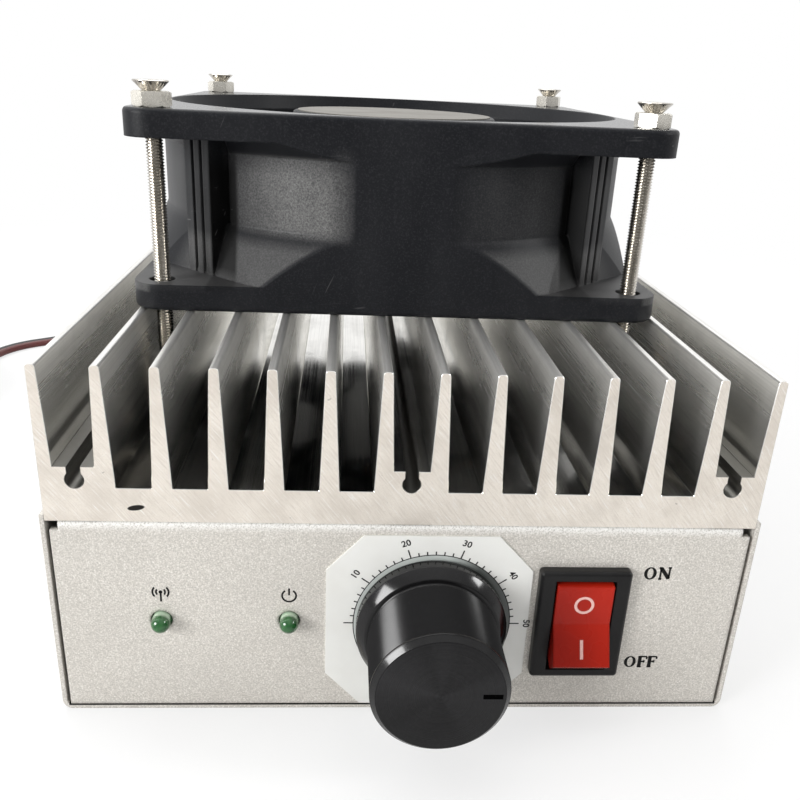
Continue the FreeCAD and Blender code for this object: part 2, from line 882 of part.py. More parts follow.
def make_power_switch_terminals():
    """Blade terminals behind the rocker switch."""
    back = front + switch_box_depth
    blades = []
    for rise in (-terminal_rise, terminal_rise):
        level = rocker_level() + rise
        blades.append(block(rocker_span(terminal_width / 2), (back, back + terminal_length),
                            (level - terminal_thickness / 2, level + terminal_thickness / 2)))
    return blades


def make_led(x):
    """Indicator: domed lens through the panel, collar and body behind it, two leads."""
    inner = front + panel_thickness
    straight = led_reach - led_radius
    barrel = rod(led_radius, V(x, front - straight, led_level), V(x, inner + led_body, led_level))
    dome = Part.makeSphere(led_radius, V(x, front - straight, led_level))
    collar = rod(led_collar_radius, V(x, inner, led_level), V(x, inner + led_collar, led_level))
    start, end = inner + led_body - led_lead_radius, inner + led_body + led_lead_length
    leads = [rod(led_lead_radius, V(x + dx, start, led_level), V(x + dx, end, led_level))
             for dx in (-led_lead_space / 2, led_lead_space / 2)]
    return join([barrel, dome, collar] + leads)


def make_led_clips():
    """Sleeves behind the panel that hold the indicators."""
    clips = []
    inner = front + panel_thickness
    for x in (led_left_x, led_right_x):
        sleeve = pipe(led_clip_radius, led_radius + touch_gap / 2, V(x, inner, led_level),
                      V(x, inner + led_clip_length, led_level))
        seat = rod(led_collar_radius + touch_gap / 2, V(x, inner, led_level),
                   V(x, inner + led_collar + touch_gap, led_level))
        clips.append(sleeve.cut(seat))
    return clips


# ---------------------------------------------------------------- fan
def at_fan(x, y, rise):
    """Point by its offset from the fan's axis and its height above the lower flange's underside."""
    return V(fan_axis.x + x, fan_axis.y + y, fan_bottom + rise)


def fan_slab(half_x, half_y, low, high):
    """Box about the fan's axis between two rises."""
    low_corner, high_corner = at_fan(-half_x, -half_y, low), at_fan(half_x, half_y, high)
    return block((low_corner.x, high_corner.x), (low_corner.y, high_corner.y), (low_corner.z, high_corner.z))


def make_fan_housing():
    """Square frame: two flanges, a barrel that flares at both ends, corner pillars, motor base."""
    half = fan_size / 2
    inner_low, inner_high = fan_flange, fan_height - fan_flange

    def upright(edge):
        return runs_along(edge, UP)

    flanges = []
    for low, rim in ((0, fan_bottom), (inner_high, fan_top)):
        flange = round_edges(fan_slab(half, half, low, low + fan_flange), fan_corner, upright)
        flanges.append(round_edges(flange, fan_rim, lambda edge: abs(edge.CenterOfMass.z - rim) < near))
    axis_low, axis_high = at_fan(0, 0, inner_low), at_fan(0, 0, inner_high)
    square = fan_slab(half, half, 0, fan_height)
    cross = join([fan_slab(fan_panel_half, half, inner_low, inner_high),
                  fan_slab(half, fan_panel_half, inner_low, inner_high)])
    panels = rod(fan_barrel, axis_low, axis_high).common(cross)
    core = rod(fan_core, axis_low, axis_high).common(square)
    flare_start = fan_height - flare_top_drop
    top_flare = cone(fan_barrel, flare_top_reach, at_fan(0, 0, flare_start), axis_high).common(cross)
    low_flare = cone(flare_low_reach, fan_barrel, axis_low, at_fan(0, 0, flare_low_rise)).common(square)
    low_flare = low_flare.common(flare_limit())
    body = join(flanges + [panels, core, top_flare, low_flare] + fan_pillars())
    mouth = cone(fan_bore, fan_bore + mouth_flare, at_fan(0, 0, fan_height - mouth_depth),
                 at_fan(0, 0, fan_height))
    holes = [rod(fan_bore, at_fan(0, 0, 0), at_fan(0, 0, fan_height)), mouth]
    for x, y in four_corners(fan_hole_spacing / 2, fan_hole_spacing / 2):
        holes.append(rod(fan_hole_radius, at_fan(x, y, 0), at_fan(x, y, fan_height)))
    return join([body.cut(holes), motor_mount()])


def flare_limit():
    """Pyramid whose four sides face the corners and bound the lower flare."""
    wires = []
    for distance, rise in ((flare_corner, fan_flange), (fan_barrel, flare_low_rise)):
        reach = distance * math.sqrt(2)
        points = [at_fan(x * reach, y * reach, rise) for x, y in ((1, 0), (0, 1), (-1, 0), (0, -1))]
        wires.append(Part.makePolygon(points + [points[0]]))
    return Part.makeLoft(wires, True, True)


def fan_pillars():
    """Ribs between the flanges, one towards each corner, with two grooves down their faces."""
    ribs = []
    for index in range(4):
        half = pillar_width / 2
        inner = (fan_bore + fan_core) / 2
        low, high = fan_bottom + fan_flange, fan_top - fan_flange
        rib = block((inner, pillar_reach), (-half, half), (low, high))
        grooves = [block((pillar_reach - pillar_groove, pillar_reach + 1),
                         (place - pillar_groove / 2, place + pillar_groove / 2), (low, high))
                   for place in (-pillar_width / 6, pillar_width / 6)]
        rib = moved(rib.cut(grooves), fan_axis)
        ribs.append(turned(rib, 45 + 90 * index, fan_axis))
    return ribs


def motor_mount():
    """Disc under the motor, its four struts and the bearing tube."""
    low, high = motor_base_rise, motor_base_rise + motor_base
    disc = rod(hub_radius, at_fan(0, 0, low), at_fan(0, 0, high))
    struts = []
    for index in range(4):
        reach = (hub_radius - strut_inset, (fan_bore + fan_core) / 2)
        strut = block(reach, (-strut_width / 2, strut_width / 2),
                      (fan_bottom + low, fan_bottom + low + strut_height))
        struts.append(turned(moved(strut, fan_axis), strut_turn + 90 * index, fan_axis))
    tube_radius = bearing_radius + bearing_tube_wall
    tower = rod(tube_radius, at_fan(0, 0, low), at_fan(0, 0, bearing_tube_top()))
    bore = rod(bearing_radius + touch_gap / 2, at_fan(0, 0, high), at_fan(0, 0, bearing_tube_top()))
    return join([disc, tower] + struts).cut(bore)


def bearing_tube_top():
    """Rise of the bearing tube's upper end."""
    return hub_top_inside() - boss_length - boss_gap


def hub_top_inside():
    """Rise of the hub's inner ceiling."""
    return fan_height - hub_drop - hub_wall


def make_fan_rotor():
    """Hub cup with its shaft boss and the swept blades."""
    top = fan_height - hub_drop
    hub = rod(hub_radius, at_fan(0, 0, hub_rise), at_fan(0, 0, top))
    rim = [edge for edge in hub.Edges if isinstance(edge.Curve, Part.Circle)]
    rim = [edge for edge in rim if edge.CenterOfMass.z > fan_bottom + top - near]
    hub = hub.makeFillet(hub_edge, rim)
    hollow = rod(hub_radius - hub_wall, at_fan(0, 0, hub_rise), at_fan(0, 0, hub_top_inside()))
    boss = rod(boss_radius, at_fan(0, 0, hub_top_inside() - boss_length), at_fan(0, 0, hub_top_inside()))
    bore = rod(fan_shaft_radius, at_fan(0, 0, 0), at_fan(0, 0, hub_top_inside()))
    low, high = blade_low_rise, fan_height - blade_top_drop
    ring = pipe(fan_bore - blade_gap, hub_radius - hub_wall / 2, at_fan(0, 0, low), at_fan(0, 0, high))
    blades = [turned(blade_blank(low, high), 360 * index / blade_count, fan_axis).common(ring)
              for index in range(blade_count)]
    return join([hub.cut(hollow), boss] + blades).cut(bore)


def blade_blank(low, high):
    """Twisted blade from inside the hub's wall to past the bore, before it is trimmed round."""
    wires = []
    root = (hub_radius - blade_root_inset, blade_half_chord_root)
    for reach, half in (root, (fan_bore, blade_half_chord_tip)):
        slant = blade_thickness * math.hypot(2 * half, high - low) / (high - low)
        outline = [(-half, low), (-half + slant, low), (half, high), (half - slant, high)]
        points = [at_fan(reach, y, z) for y, z in outline]
        wires.append(Part.makePolygon(points + [points[0]]))
    return Part.makeLoft(wires, True, True)


def make_fan_hub_label():
    """Blank disc on the hub's top."""
    top = fan_height - hub_drop
    return rod(hub_radius - hub_edge - label_margin, at_fan(0, 0, top), at_fan(0, 0, top + label_thickness))


def make_fan_shaft():
    """Shaft pressed into the hub, running in two bearings."""
    low = motor_base_rise + motor_base + shaft_end_gap
    return rod(fan_shaft_radius, at_fan(0, 0, low), at_fan(0, 0, hub_top_inside()))


def make_fan_bearings():
    """Two bearings in the tube, a washer's gap below the hub's boss."""
    low = motor_base_rise + motor_base
    bearings = []
    for start in (low, bearing_tube_top() - bearing_width):
        bearings.append(pipe(bearing_radius, fan_shaft_radius + running_gap, at_fan(0, 0, start),
                             at_fan(0, 0, start + bearing_width)))
    return bearings


def magnet_inner():
    """Inside radius of the magnet ring."""
    return hub_radius - hub_wall - magnet_thickness


def make_fan_magnet():
    """Ring magnet glued inside the hub."""
    top = hub_top_inside()
    return pipe(hub_radius - hub_wall, magnet_inner(), at_fan(0, 0, top - magnet_height), at_fan(0, 0, top))


def stator_levels():
    """Low and high rise of the stator's lamination stack."""
    middle = hub_top_inside() - stator_drop
    return middle - stator_height / 2, middle + stator_height / 2


def make_fan_stator():
    """Laminated core: a ring on the bearing tube and four poles with curved shoes."""
    low, high = stator_levels()
    outer = magnet_inner() - stator_gap
    tube_radius = bearing_radius + bearing_tube_wall
    ring = rod(tube_radius + stator_ring, at_fan(0, 0, low), at_fan(0, 0, high))
    half_shoe, half_pole, reach = shoe_width / 2, pole_width / 2, outer - shoe_thickness / 2
    shoes = pipe(outer, outer - shoe_thickness, at_fan(0, 0, low), at_fan(0, 0, high))
    shoes = shoes.common(join([fan_slab(outer, half_shoe, low, high), fan_slab(half_shoe, outer, low, high)]))
    poles = [fan_slab(reach, half_pole, low, high), fan_slab(half_pole, reach, low, high)]
    tube = rod(tube_radius, at_fan(0, 0, low), at_fan(0, 0, high))
    return join([ring, poles[0], poles[1], shoes]).cut(tube)


def make_fan_coils():
    """Four windings around the stator's poles."""
    low, high = stator_levels()
    inner = bearing_radius + bearing_tube_wall + stator_ring + coil_end_gap
    outer = magnet_inner() - stator_gap - shoe_thickness - coil_end_gap
    half_pole = pole_width / 2
    half_coil = half_pole + coil_wall
    coils = []
    for index in range(4):
        coil = block((inner, outer), (-half_coil, half_coil),
                     (fan_bottom + low - coil_wall, fan_bottom + high + coil_wall))
        pole = block((inner, outer), (-half_pole, half_pole), (fan_bottom + low, fan_bottom + high))
        coils.append(turned(moved(coil.cut(pole), fan_axis), 90 * index, fan_axis))
    return coils


def make_fan_circuit_board():
    """Round driver board between the motor base and the stator."""
    low = motor_base_rise + motor_base
    low_end, high_end = at_fan(0, 0, low), at_fan(0, 0, low + fan_board)
    return pipe(magnet_inner() - stator_gap, bearing_radius + bearing_tube_wall, low_end, high_end)


def make_fan_screws():
    """Long countersunk screws through nut, fan and channel into the heatsink's base."""
    return [countersunk_screw(V(x, y, fan_screw_top), V(0, 0, -1), fan_screw_length)
            for x, y in fan_screw_places()]


def make_fan_nuts():
    """Nuts that clamp the fan under the screw heads."""
    nuts = []
    for (x, y), turn in zip(fan_screw_places(), fan_nut_turns):
        nuts.append(nut(m3_nut_flats, m3_hole, V(x, y, fan_top), V(x, y, fan_top + m3_nut_height), turn))
    return nuts


# ---------------------------------------------------------------- rear panel fittings
def behind(x, reach, level=None):
    """Point a distance behind the rear panel's outer face."""
    return V(x, rear + reach, control_level if level is None else level)


def make_rf_sockets():
    """Square flanges with a threaded barrel outside and a short collar through the panel."""
    sockets = []
    half = rf_flange / 2
    for x in rf_socket_xs:
        plate = block((x - half, x + half), (rear, rear + rf_flange_thickness),
                      (control_level - half, control_level + half))
        barrel = rod(rf_barrel_radius, behind(x, rf_flange_thickness),
                     behind(x, rf_flange_thickness + rf_barrel_length))
        collar = rod(rf_back_radius, behind(x, -rf_back_length), behind(x, 0))
        bore = rod(rf_barrel_bore, behind(x, -rf_back_length),
                   behind(x, rf_flange_thickness + rf_barrel_length))
        holes = [bore]
        for dx, dz in four_corners(rf_screw_spacing / 2, rf_screw_spacing / 2):
            holes.append(rod(m3_clearance, behind(x + dx, 0, control_level + dz),
                             behind(x + dx, rf_flange_thickness, control_level + dz)))
        sockets.append(join([plate, barrel, collar]).cut(holes))
    return sockets


def rf_mouth():
    """Reach of the insulator's outer face."""
    return rf_flange_thickness + rf_barrel_length - rf_insulator_recess


def make_rf_insulators():
    """Insulators that fill the barrels around the centre contacts."""
    return [pipe(rf_barrel_bore, rf_contact_radius, behind(x, -rf_back_length), behind(x, rf_mouth()))
            for x in rf_socket_xs]


def make_rf_contacts():
    """Centre contacts: sleeves that take a plug's pin, with a closed solder end."""
    contacts = []
    for x in rf_socket_xs:
        start = rf_mouth() - rf_contact_length
        sleeve = rod(rf_contact_radius, behind(x, start), behind(x, rf_mouth()))
        bore = rod(rf_contact_bore, behind(x, rf_mouth() - rf_contact_depth), behind(x, rf_mouth()))
        contacts.append(sleeve.cut(bore))
    return contacts


def rf_screw_places():
    """Points on the socket flanges' outer faces where the screw heads sit."""
    places = []
    for x in rf_socket_xs:
        for dx, dz in four_corners(rf_screw_spacing / 2, rf_screw_spacing / 2):
            places.append(behind(x + dx, rf_flange_thickness, control_level + dz))
    return places


def make_rf_socket_screws():
    """Pan head screws through socket flange and panel."""
    return [pan_screw(place, OUTWARD, rf_screw_length) for place in rf_screw_places()]


def make_rf_socket_nuts():
    """Nuts inside the rear panel."""
    nuts = []
    for place in rf_screw_places():
        start = V(place.x, rear - panel_thickness - m3_nut_height, place.z)
        nuts.append(nut(m3_nut_flats, m3_hole, start, start.add(REARWARD * m3_nut_height)))
    return nuts


def make_ptt_jack_shell():
    """Phono jack for keying: outer sleeve, flange and threaded tail."""
    sleeve = rod(ptt_radius, behind(ptt_x, -ptt_back), behind(ptt_x, ptt_flange + ptt_length))
    flange = rod(ptt_flange_radius, behind(ptt_x, 0), behind(ptt_x, ptt_flange))
    bore = rod(ptt_radius - ptt_wall, behind(ptt_x, -ptt_back), behind(ptt_x, ptt_flange + ptt_length))
    clamp = hexagon(ptt_nut_flats, behind(ptt_x, -panel_thickness - ptt_nut), behind(ptt_x, -panel_thickness))
    return join([sleeve, flange, clamp]).cut(bore)


def make_ptt_jack_insulator():
    """Insulator with the hole for a phono plug's pin."""
    mouth = ptt_flange + ptt_length - ptt_recess
    return pipe(ptt_radius - ptt_wall, ptt_bore, behind(ptt_x, ptt_recess - ptt_back), behind(ptt_x, mouth))


# ---------------------------------------------------------------- supply lead
lead_points = [
    V(lead_x, grommet_end, lead_level),
    V(-38.0, 94.0, 17.35),
    V(-38.0, 108.0, 9.5),
    V(-38.0, 122.5, lead_lies),
    V(-38.0, 140.0, lead_lies),
    V(-51.0, 155.5, lead_lies),
    V(-72.0, 158.0, lead_lies),
    V(-94.5, 144.5, lead_lies),
    V(-113.0, 126.5, lead_lies),
    V(-130.8, 114.3, lead_lies),
    V(-134.3, 93.0, lead_lies),
    V(-127.1, 73.3, lead_lies),
]


def outer_turn():
    """Radius of the coil's outermost turn, at the lead's centreline."""
    return coil_mid_radius + (coil_turns_across - 1) * (lead_width + coil_slack) / 2


def coil_centre():
    """Centre of the coil: the lead runs into its outermost turn without a kink, and turns right."""
    heading = lead_points[-1].sub(lead_points[-2])
    heading.normalize()
    centre = lead_points[-1].add(V(heading.y, -heading.x, 0) * outer_turn())
    return V(centre.x, centre.y, 0)


tail_points = [
    coil_centre().add(V(-outer_turn(), 0, lead_lies)),
    coil_centre().add(V(-outer_turn() - 0.6, 13.0, lead_lies)),
    coil_centre().add(V(-outer_turn() + 2.2, 25.0, lead_lies)),
]


def soft_path(points):
    """Straight runs joined by tangent arcs, each arc as large as its two runs allow."""
    edges = []
    here = points[0]
    radii = []
    for index in range(1, len(points) - 1):
        before, corner, after = points[index - 1], points[index], points[index + 1]
        back, ahead = before.sub(corner), after.sub(corner)
        run = arc_share * min(back.Length, ahead.Length)
        half_turn = (math.pi - back.getAngle(ahead)) / 2
        radii.append(run / math.tan(half_turn))
        back.normalize()
        ahead.normalize()
        start, end = corner.add(back * run), corner.add(ahead * run)
        bisector = back.add(ahead)
        bisector.normalize()
        to_centre = math.hypot(run, radii[-1])
        middle = corner.add(bisector * (to_centre - radii[-1]))
        edges.append(Part.LineSegment(here, start).toShape())
        edges.append(Part.Arc(start, middle, end).toShape())
        here = end
    edges.append(Part.LineSegment(here, points[-1]).toShape())
    return Part.Wire(edges), radii


def lead_section(centre, heading):
    """Outline of the flat lead, broad side level, across a level heading."""
    level = V(heading.y, -heading.x, 0)
    level.normalize()
    across, half = level * (lead_width / 2 - lead_core / 2), lead_core / 2
    top, low = UP * half, UP * -half
    right, left = centre.add(across), centre.sub(across)
    return Part.Wire([
        Part.LineSegment(left.add(low), right.add(low)).toShape(),
        Part.Arc(right.add(low), right.add(level * half), right.add(top)).toShape(),
        Part.LineSegment(right.add(top), left.add(top)).toShape(),
        Part.Arc(left.add(top), left.sub(level * half), left.add(low)).toShape(),
    ])


def soft_tube(points):
    """Flat lead along a soft path; prints its radii and checks its volume."""
    path, radii = soft_path(points)
    section = lead_section(points[0], points[1].sub(points[0]))
    tube = path.makePipeShell([section], True, False)
    expected = Part.Face(section).Area * path.Length
    lowest = tube.optimalBoundingBox(False, False).ZMin
    print("lead radii", [round(radius, 1) for radius in radii], "length %.1f" % path.Length,
          "volume ratio %.4f" % (tube.Volume / expected), "lowest %.3f" % lowest)
    return tube


def make_dc_cord():
    """The lead from its grommet to the coil, and from the coil to its connector."""
    centre = coil_centre()
    coil = rod(coil_mid_radius + coil_half_width(), centre, centre.add(UP * coil_height()))
    return [soft_tube(lead_points).cut(coil), soft_tube(tail_points).cut(coil)]


def coil_half_width():
    """Half of the coil's radial width."""
    return coil_turns_across * (lead_width + coil_slack) / 2


def coil_height():
    """Height of the wound coil."""
    return coil_turns_high * (lead_core + coil_slack)


def make_dc_cord_coil():
    """The put-away length of the lead as one ring with rounded edges."""
    half = coil_half_width()
    centre = coil_centre()
    top = centre.add(UP * coil_height())
    ring = pipe(coil_mid_radius + half, coil_mid_radius - half, centre, top)
    rims = [edge for edge in ring.Edges if isinstance(edge.Curve, Part.Circle)]
    return ring.makeFillet(coil_edge, rims)


def make_dc_cord_tie():
    """Strap around the coil's bundle, on the side away from the amplifier."""
    half, high = coil_half_width(), coil_height()
    wall = tie_thickness
    place = coil_centre().sub(V(0, coil_mid_radius, 0))
    xs = (place.x - tie_width / 2, place.x + tie_width / 2)
    outer = block(xs, (place.y - half - wall, place.y + half + wall), (0, high + wall))
    inner = block(xs, (place.y - half - tie_gap, place.y + half + tie_gap), (0, high + tie_gap))
    return outer.cut(inner)


def make_dc_connector():
    """Two-way connector on the lead's end, its socket side open."""
    end = tail_points[-1]
    heading = end.sub(tail_points[-2])
    angle = math.degrees(math.atan2(heading.y, heading.x))
    body = block((0, connector_length), (-connector_width / 2, connector_width / 2), (0, connector_height))
    ways = []
    for side in (-1, 1):
        middle, half = side * connector_width / 4, socket_width / 2
        level = (connector_height / 2 - half, connector_height / 2 + half)
        ways.append(block((connector_length - socket_length, connector_length),
                          (middle - half, middle + half), level))
    housing = body.cut(ways)
    return turned(moved(housing, V(end.x, end.y, 0)), angle, V(end.x, end.y, 0))


def make_dc_grommet():
    """Rubber grommet in the rear panel with a short tapered nose around the lead."""
    inner = rear - panel_thickness
    ys = (inner - grommet_flange, inner, rear, rear + grommet_flange, grommet_end)
    at = [V(lead_x, y, lead_level) for y in ys]
    return join([
        rod(grommet_flange_radius, at[0], at[1]),
        rod(grommet_neck_radius, at[1], at[2]),
        rod(grommet_flange_radius, at[2], at[3]),
        cone(grommet_neck_radius, grommet_nose_radius, at[3], at[4]),
    ])


# ---------------------------------------------------------------- electronics
def make_circuit_board():
    """Main board that hangs under the heatsink."""
    board = centred((board_width, board_depth), (0, board_shift_y), (board_bottom, board_top))
    holes = [through_board(m3_clearance, x, y) for x, y in board_screw_places()]
    holes += [through_board(driver_hole_radius, x, y) for x, y in transistor_places()]
    return board.cut(holes)


def through_board(radius, x, y):
    """Cutter for a round hole in the main board."""
    return rod(radius, V(x, y, board_bottom), V(x, y, board_top))


def make_board_spacers():
    """Round spacers between board and heatsink."""
    spacers = []
    for x, y in board_screw_places():
        spacers.append(pipe(spacer_radius, m3_clearance, V(x, y, board_top), V(x, y, seam)))
    return spacers


def make_board_screws():
    """Screws through board and spacer into the heatsink."""
    return [pan_screw(V(x, y, board_bottom), UP, board_screw_length) for x, y in board_screw_places()]


def on_board(place):
    """X and Y of a place given as shares of the board's width and depth."""
    return (board_width * place[0], board_shift_y + board_depth * place[1])


def make_relays():
    """Four sealed relays in two pairs."""
    relays = []
    for column in relay_columns:
        for row in relay_rows:
            relay = centred(relay_size, on_board((column, row)), (board_bottom - relay_size[2], board_bottom))
            relays.append(round_edges(relay, relay_edge, lambda edge: runs_along(edge, UP)))
    return relays


def toroid_places():
    """X and Y of the filter toroids, in two rows."""
    pitch = 2 * (toroid_outer + winding_thickness) + toroid_space
    x, y = on_board(toroid_start)
    return [(x + pitch * column, y + pitch * row) for column in range(3) for row in (0, 1)]


def toroid_levels():
    """Low and high level of the toroid cores."""
    high = board_bottom - winding_thickness - touch_gap
    return high - toroid_height, high


def make_toroid_cores():
    """Ring cores of the filters."""
    low, high = toroid_levels()
    return [pipe(toroid_outer, toroid_inner, V(x, y, low), V(x, y, high)) for x, y in toroid_places()]


def make_toroid_windings():
    """Windings that wrap most of each ring core."""
    low, high = toroid_levels()
    wall, gap = winding_thickness, touch_gap / 2
    windings = []
    for x, y in toroid_places():
        centre = V(x, y, 0)

        def ring_section(inner, outer, bottom, top):
            outline = [(inner, bottom), (outer, bottom), (outer, top), (inner, top), (inner, bottom)]
            points = [V(x + reach, y, level) for reach, level in outline]
            return Part.Face(Part.makePolygon(points)).revolve(centre, UP, winding_sweep)

        outside = ring_section(toroid_inner - wall, toroid_outer + wall, low - wall, high + wall)
        inside = ring_section(toroid_inner - gap, toroid_outer + gap, low - gap, high + gap)
        windings.append(outside.cut(inside))
    return windings


def core_places():
    """The two wideband transformers: middle X and Y, and the size of each."""
    return [on_board(big_core_place) + (big_core,), on_board(small_core_place) + (small_core,)]


def core_bores(x, y, size):
    """Cutters for the two bores of a binocular core."""
    level = board_bottom - size[2] / 2
    radius = size[2] * core_bore
    bores = []
    for side in (-1, 1):
        middle = x + side * size[0] / 4
        bores.append(rod(radius, V(middle, y - size[1] / 2, level), V(middle, y + size[1] / 2, level)))
    return bores


def make_transformer_cores():
    """Two binocular ferrite cores."""
    cores = []
    for x, y, size in core_places():
        body = centred(size, (x, y), (board_bottom - size[2], board_bottom))
        body = round_edges(body, core_edge, lambda edge: runs_along(edge, REARWARD))
        cores.append(body.cut(core_bores(x, y, size)))
    return cores


def make_transformer_windings():
    """One loop through each binocular core: two legs and a bridge at either end."""
    windings = []
    for x, y, size in core_places():
        level = board_bottom - size[2] / 2
        radius = size[2] * core_bore - touch_gap
        reach = size[1] / 2 + bridge_gap + bridge_thickness
        pieces = []
        for side in (-1, 1):
            leg = x + side * size[0] / 4
            pieces.append(rod(radius, V(leg, y - reach, level), V(leg, y + reach, level)))
            ys = sorted((y + side * reach, y + side * (reach - bridge_thickness)))
            pieces.append(block((x - size[0] / 4, x + size[0] / 4), ys, (level - radius, level + radius)))
        windings.append(join(pieces))
    return windings


def make_capacitors():
    """Electrolytic capacitors that hang from the board."""
    capacitors = []
    for index in (-1, 0, 1):
        x = board_width * capacitor_column
        y = board_shift_y + index * (2 * capacitor_radius + capacitor_space)
        can = rod(capacitor_radius, V(x, y, board_bottom - capacitor_height), V(x, y, board_bottom))
        rims = [edge for edge in can.Edges if isinstance(edge.Curve, Part.Circle)]
        capacitors.append(can.makeFillet(capacitor_edge, rims))
    return capacitors


def make_bias_trimmers():
    """Bias trimmers beside the transistors."""
    trimmers = []
    for column in trimmer_columns:
        x, y = on_board((column, trimmer_row))
        low = board_bottom - trimmer_size[2]
        body = centred(trimmer_size, (x, y), (low, board_bottom))
        slot = centred(trimmer_slot, (x, y), (low, low + trimmer_slot[0]))
        trimmers.append(body.cut(slot))
    return trimmers


def tab_levels():
    """Low and high level of the transistors' metal tabs."""
    high = seam - transistor_pad
    return high - tab_size[2], high


def tab_middle(screw_y):
    """Y of a tab's middle from its screw's."""
    return screw_y + tab_hole_edge - tab_size[1] / 2


def make_transistor_tabs():
    """Metal tabs flat against the insulating pads, with the screw holes."""
    low, high = tab_levels()
    tabs = []
    for x, y in transistor_places():
        tab = centred(tab_size, (x, tab_middle(y)), (low, high))
        tabs.append(tab.cut(rod(m3_clearance, V(x, y, low), V(x, y, high))))
    return tabs


def make_transistor_bodies():
    """Plastic bodies under the tabs, with three leads down to the board."""
    low = tab_levels()[0]
    bodies = []
    for x, y in transistor_places():
        end = tab_middle(y) - tab_size[1] / 2
        body = centred(transistor_body, (x, end + transistor_body[1] / 2), (low - transistor_body[2], low))
        level = low - transistor_body[2] / 2
        half = device_lead / 2
        leads = []
        for dx in (-device_lead_pitch, 0, device_lead_pitch):
            span = (x + dx - half, x + dx + half)
            leads.append(block(span, (end - device_lead_reach, end), (level - half, level + half)))
            bend = (end - device_lead_reach, end - device_lead_reach + device_lead)
            leads.append(block(span, bend, (board_top, level + half)))
        bodies.append(join([body] + leads))
    return bodies


def make_transistor_pads():
    """Insulating pads between tab and heatsink."""
    pads = []
    for x, y in transistor_places():
        size = (tab_size[0] + 2 * pad_margin, tab_size[1] + 2 * pad_margin)
        pad = centred(size, (x, tab_middle(y)), (seam - transistor_pad, seam))
        pads.append(pad.cut(rod(m3_clearance, V(x, y, seam - transistor_pad), V(x, y, seam))))
    return pads


def make_transistor_screws():
    """Screws that clamp the transistors to the heatsink."""
    return [pan_screw(V(x, y, tab_levels()[0]), UP, transistor_screw_length) for x, y in transistor_places()]


# ---------------------------------------------------------------- build
nodes = {
    "heatsink": make_heatsink,
    "case_shell": make_case_shell,
    "case_pillars": make_case_pillars,
    "bottom_screws": make_bottom_screws,
    "front_panel": make_front_panel,
    "rear_panel": make_rear_panel,
    "panel_screws": make_panel_screws,
    "dial_plate": make_dial_plate,
    "knob": make_knob,
    "knob_grub_screw": make_knob_grub_screw,
    "band_switch_shaft": make_band_switch_shaft,
    "band_switch_rotor": make_band_switch_rotor,
    "band_switch_body": make_band_switch_body,
    "band_switch_washer": make_band_switch_washer,
    "band_switch_nut": make_band_switch_nut,
    "band_switch_lugs": make_band_switch_lugs,
    "power_switch_body": make_power_switch_body,
    "power_switch_rocker": make_power_switch_rocker,
    "power_switch_terminals": make_power_switch_terminals,
    "led_left": lambda: make_led(led_left_x),
    "led_right": lambda: make_led(led_right_x),
    "led_clips": make_led_clips,
    "fan_housing": make_fan_housing,
    "fan_rotor": make_fan_rotor,
    "fan_hub_label": make_fan_hub_label,
    "fan_shaft": make_fan_shaft,
    "fan_bearings": make_fan_bearings,
    "fan_magnet": make_fan_magnet,
    "fan_stator": make_fan_stator,
    "fan_coils": make_fan_coils,
    "fan_circuit_board": make_fan_circuit_board,
    "fan_screws": make_fan_screws,
    "fan_nuts": make_fan_nuts,
    "rf_sockets": make_rf_sockets,
    "rf_insulators": make_rf_insulators,
    "rf_contacts": make_rf_contacts,
    "rf_socket_screws": make_rf_socket_screws,
    "rf_socket_nuts": make_rf_socket_nuts,
    "ptt_jack_shell": make_ptt_jack_shell,
    "ptt_jack_insulator": make_ptt_jack_insulator,
    "dc_grommet": make_dc_grommet,
    "dc_cord": make_dc_cord,
    "dc_cord_coil": make_dc_cord_coil,
    "dc_cord_tie": make_dc_cord_tie,
    "dc_connector": make_dc_connector,
    "circuit_board": make_circuit_board,
    "board_spacers": make_board_spacers,
    "board_screws": make_board_screws,
    "relays": make_relays,
    "toroid_cores": make_toroid_cores,
    "toroid_windings": make_toroid_windings,
    "transformer_cores": make_transformer_cores,
    "transformer_windings": make_transformer_windings,
    "capacitors": make_capacitors,
    "bias_trimmers": make_bias_trimmers,
    "transistor_bodies": make_transistor_bodies,
    "transistor_tabs": make_transistor_tabs,
    "transistor_pads": make_transistor_pads,
    "transistor_screws": make_transistor_screws,
}

os.makedirs("parts", exist_ok=True)
for node, make in nodes.items():
    save(node, make())
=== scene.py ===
"""Looks of a desktop HF linear amplifier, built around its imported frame.

Metres: +X is to the right seen from the front, +Y to the rear, +Z up. The origin is the centre of
the case's underside. Sizes in the classes and places in the finishes are in millimetres.
"""

import logging
import math
from dataclasses import dataclass
from enum import Enum
from functools import cached_property
from typing import Any, Optional, Sequence, Union

import bmesh
import bpy
import numpy as np
from mathutils import Matrix, Vector
from mathutils.geometry import tessellate_polygon

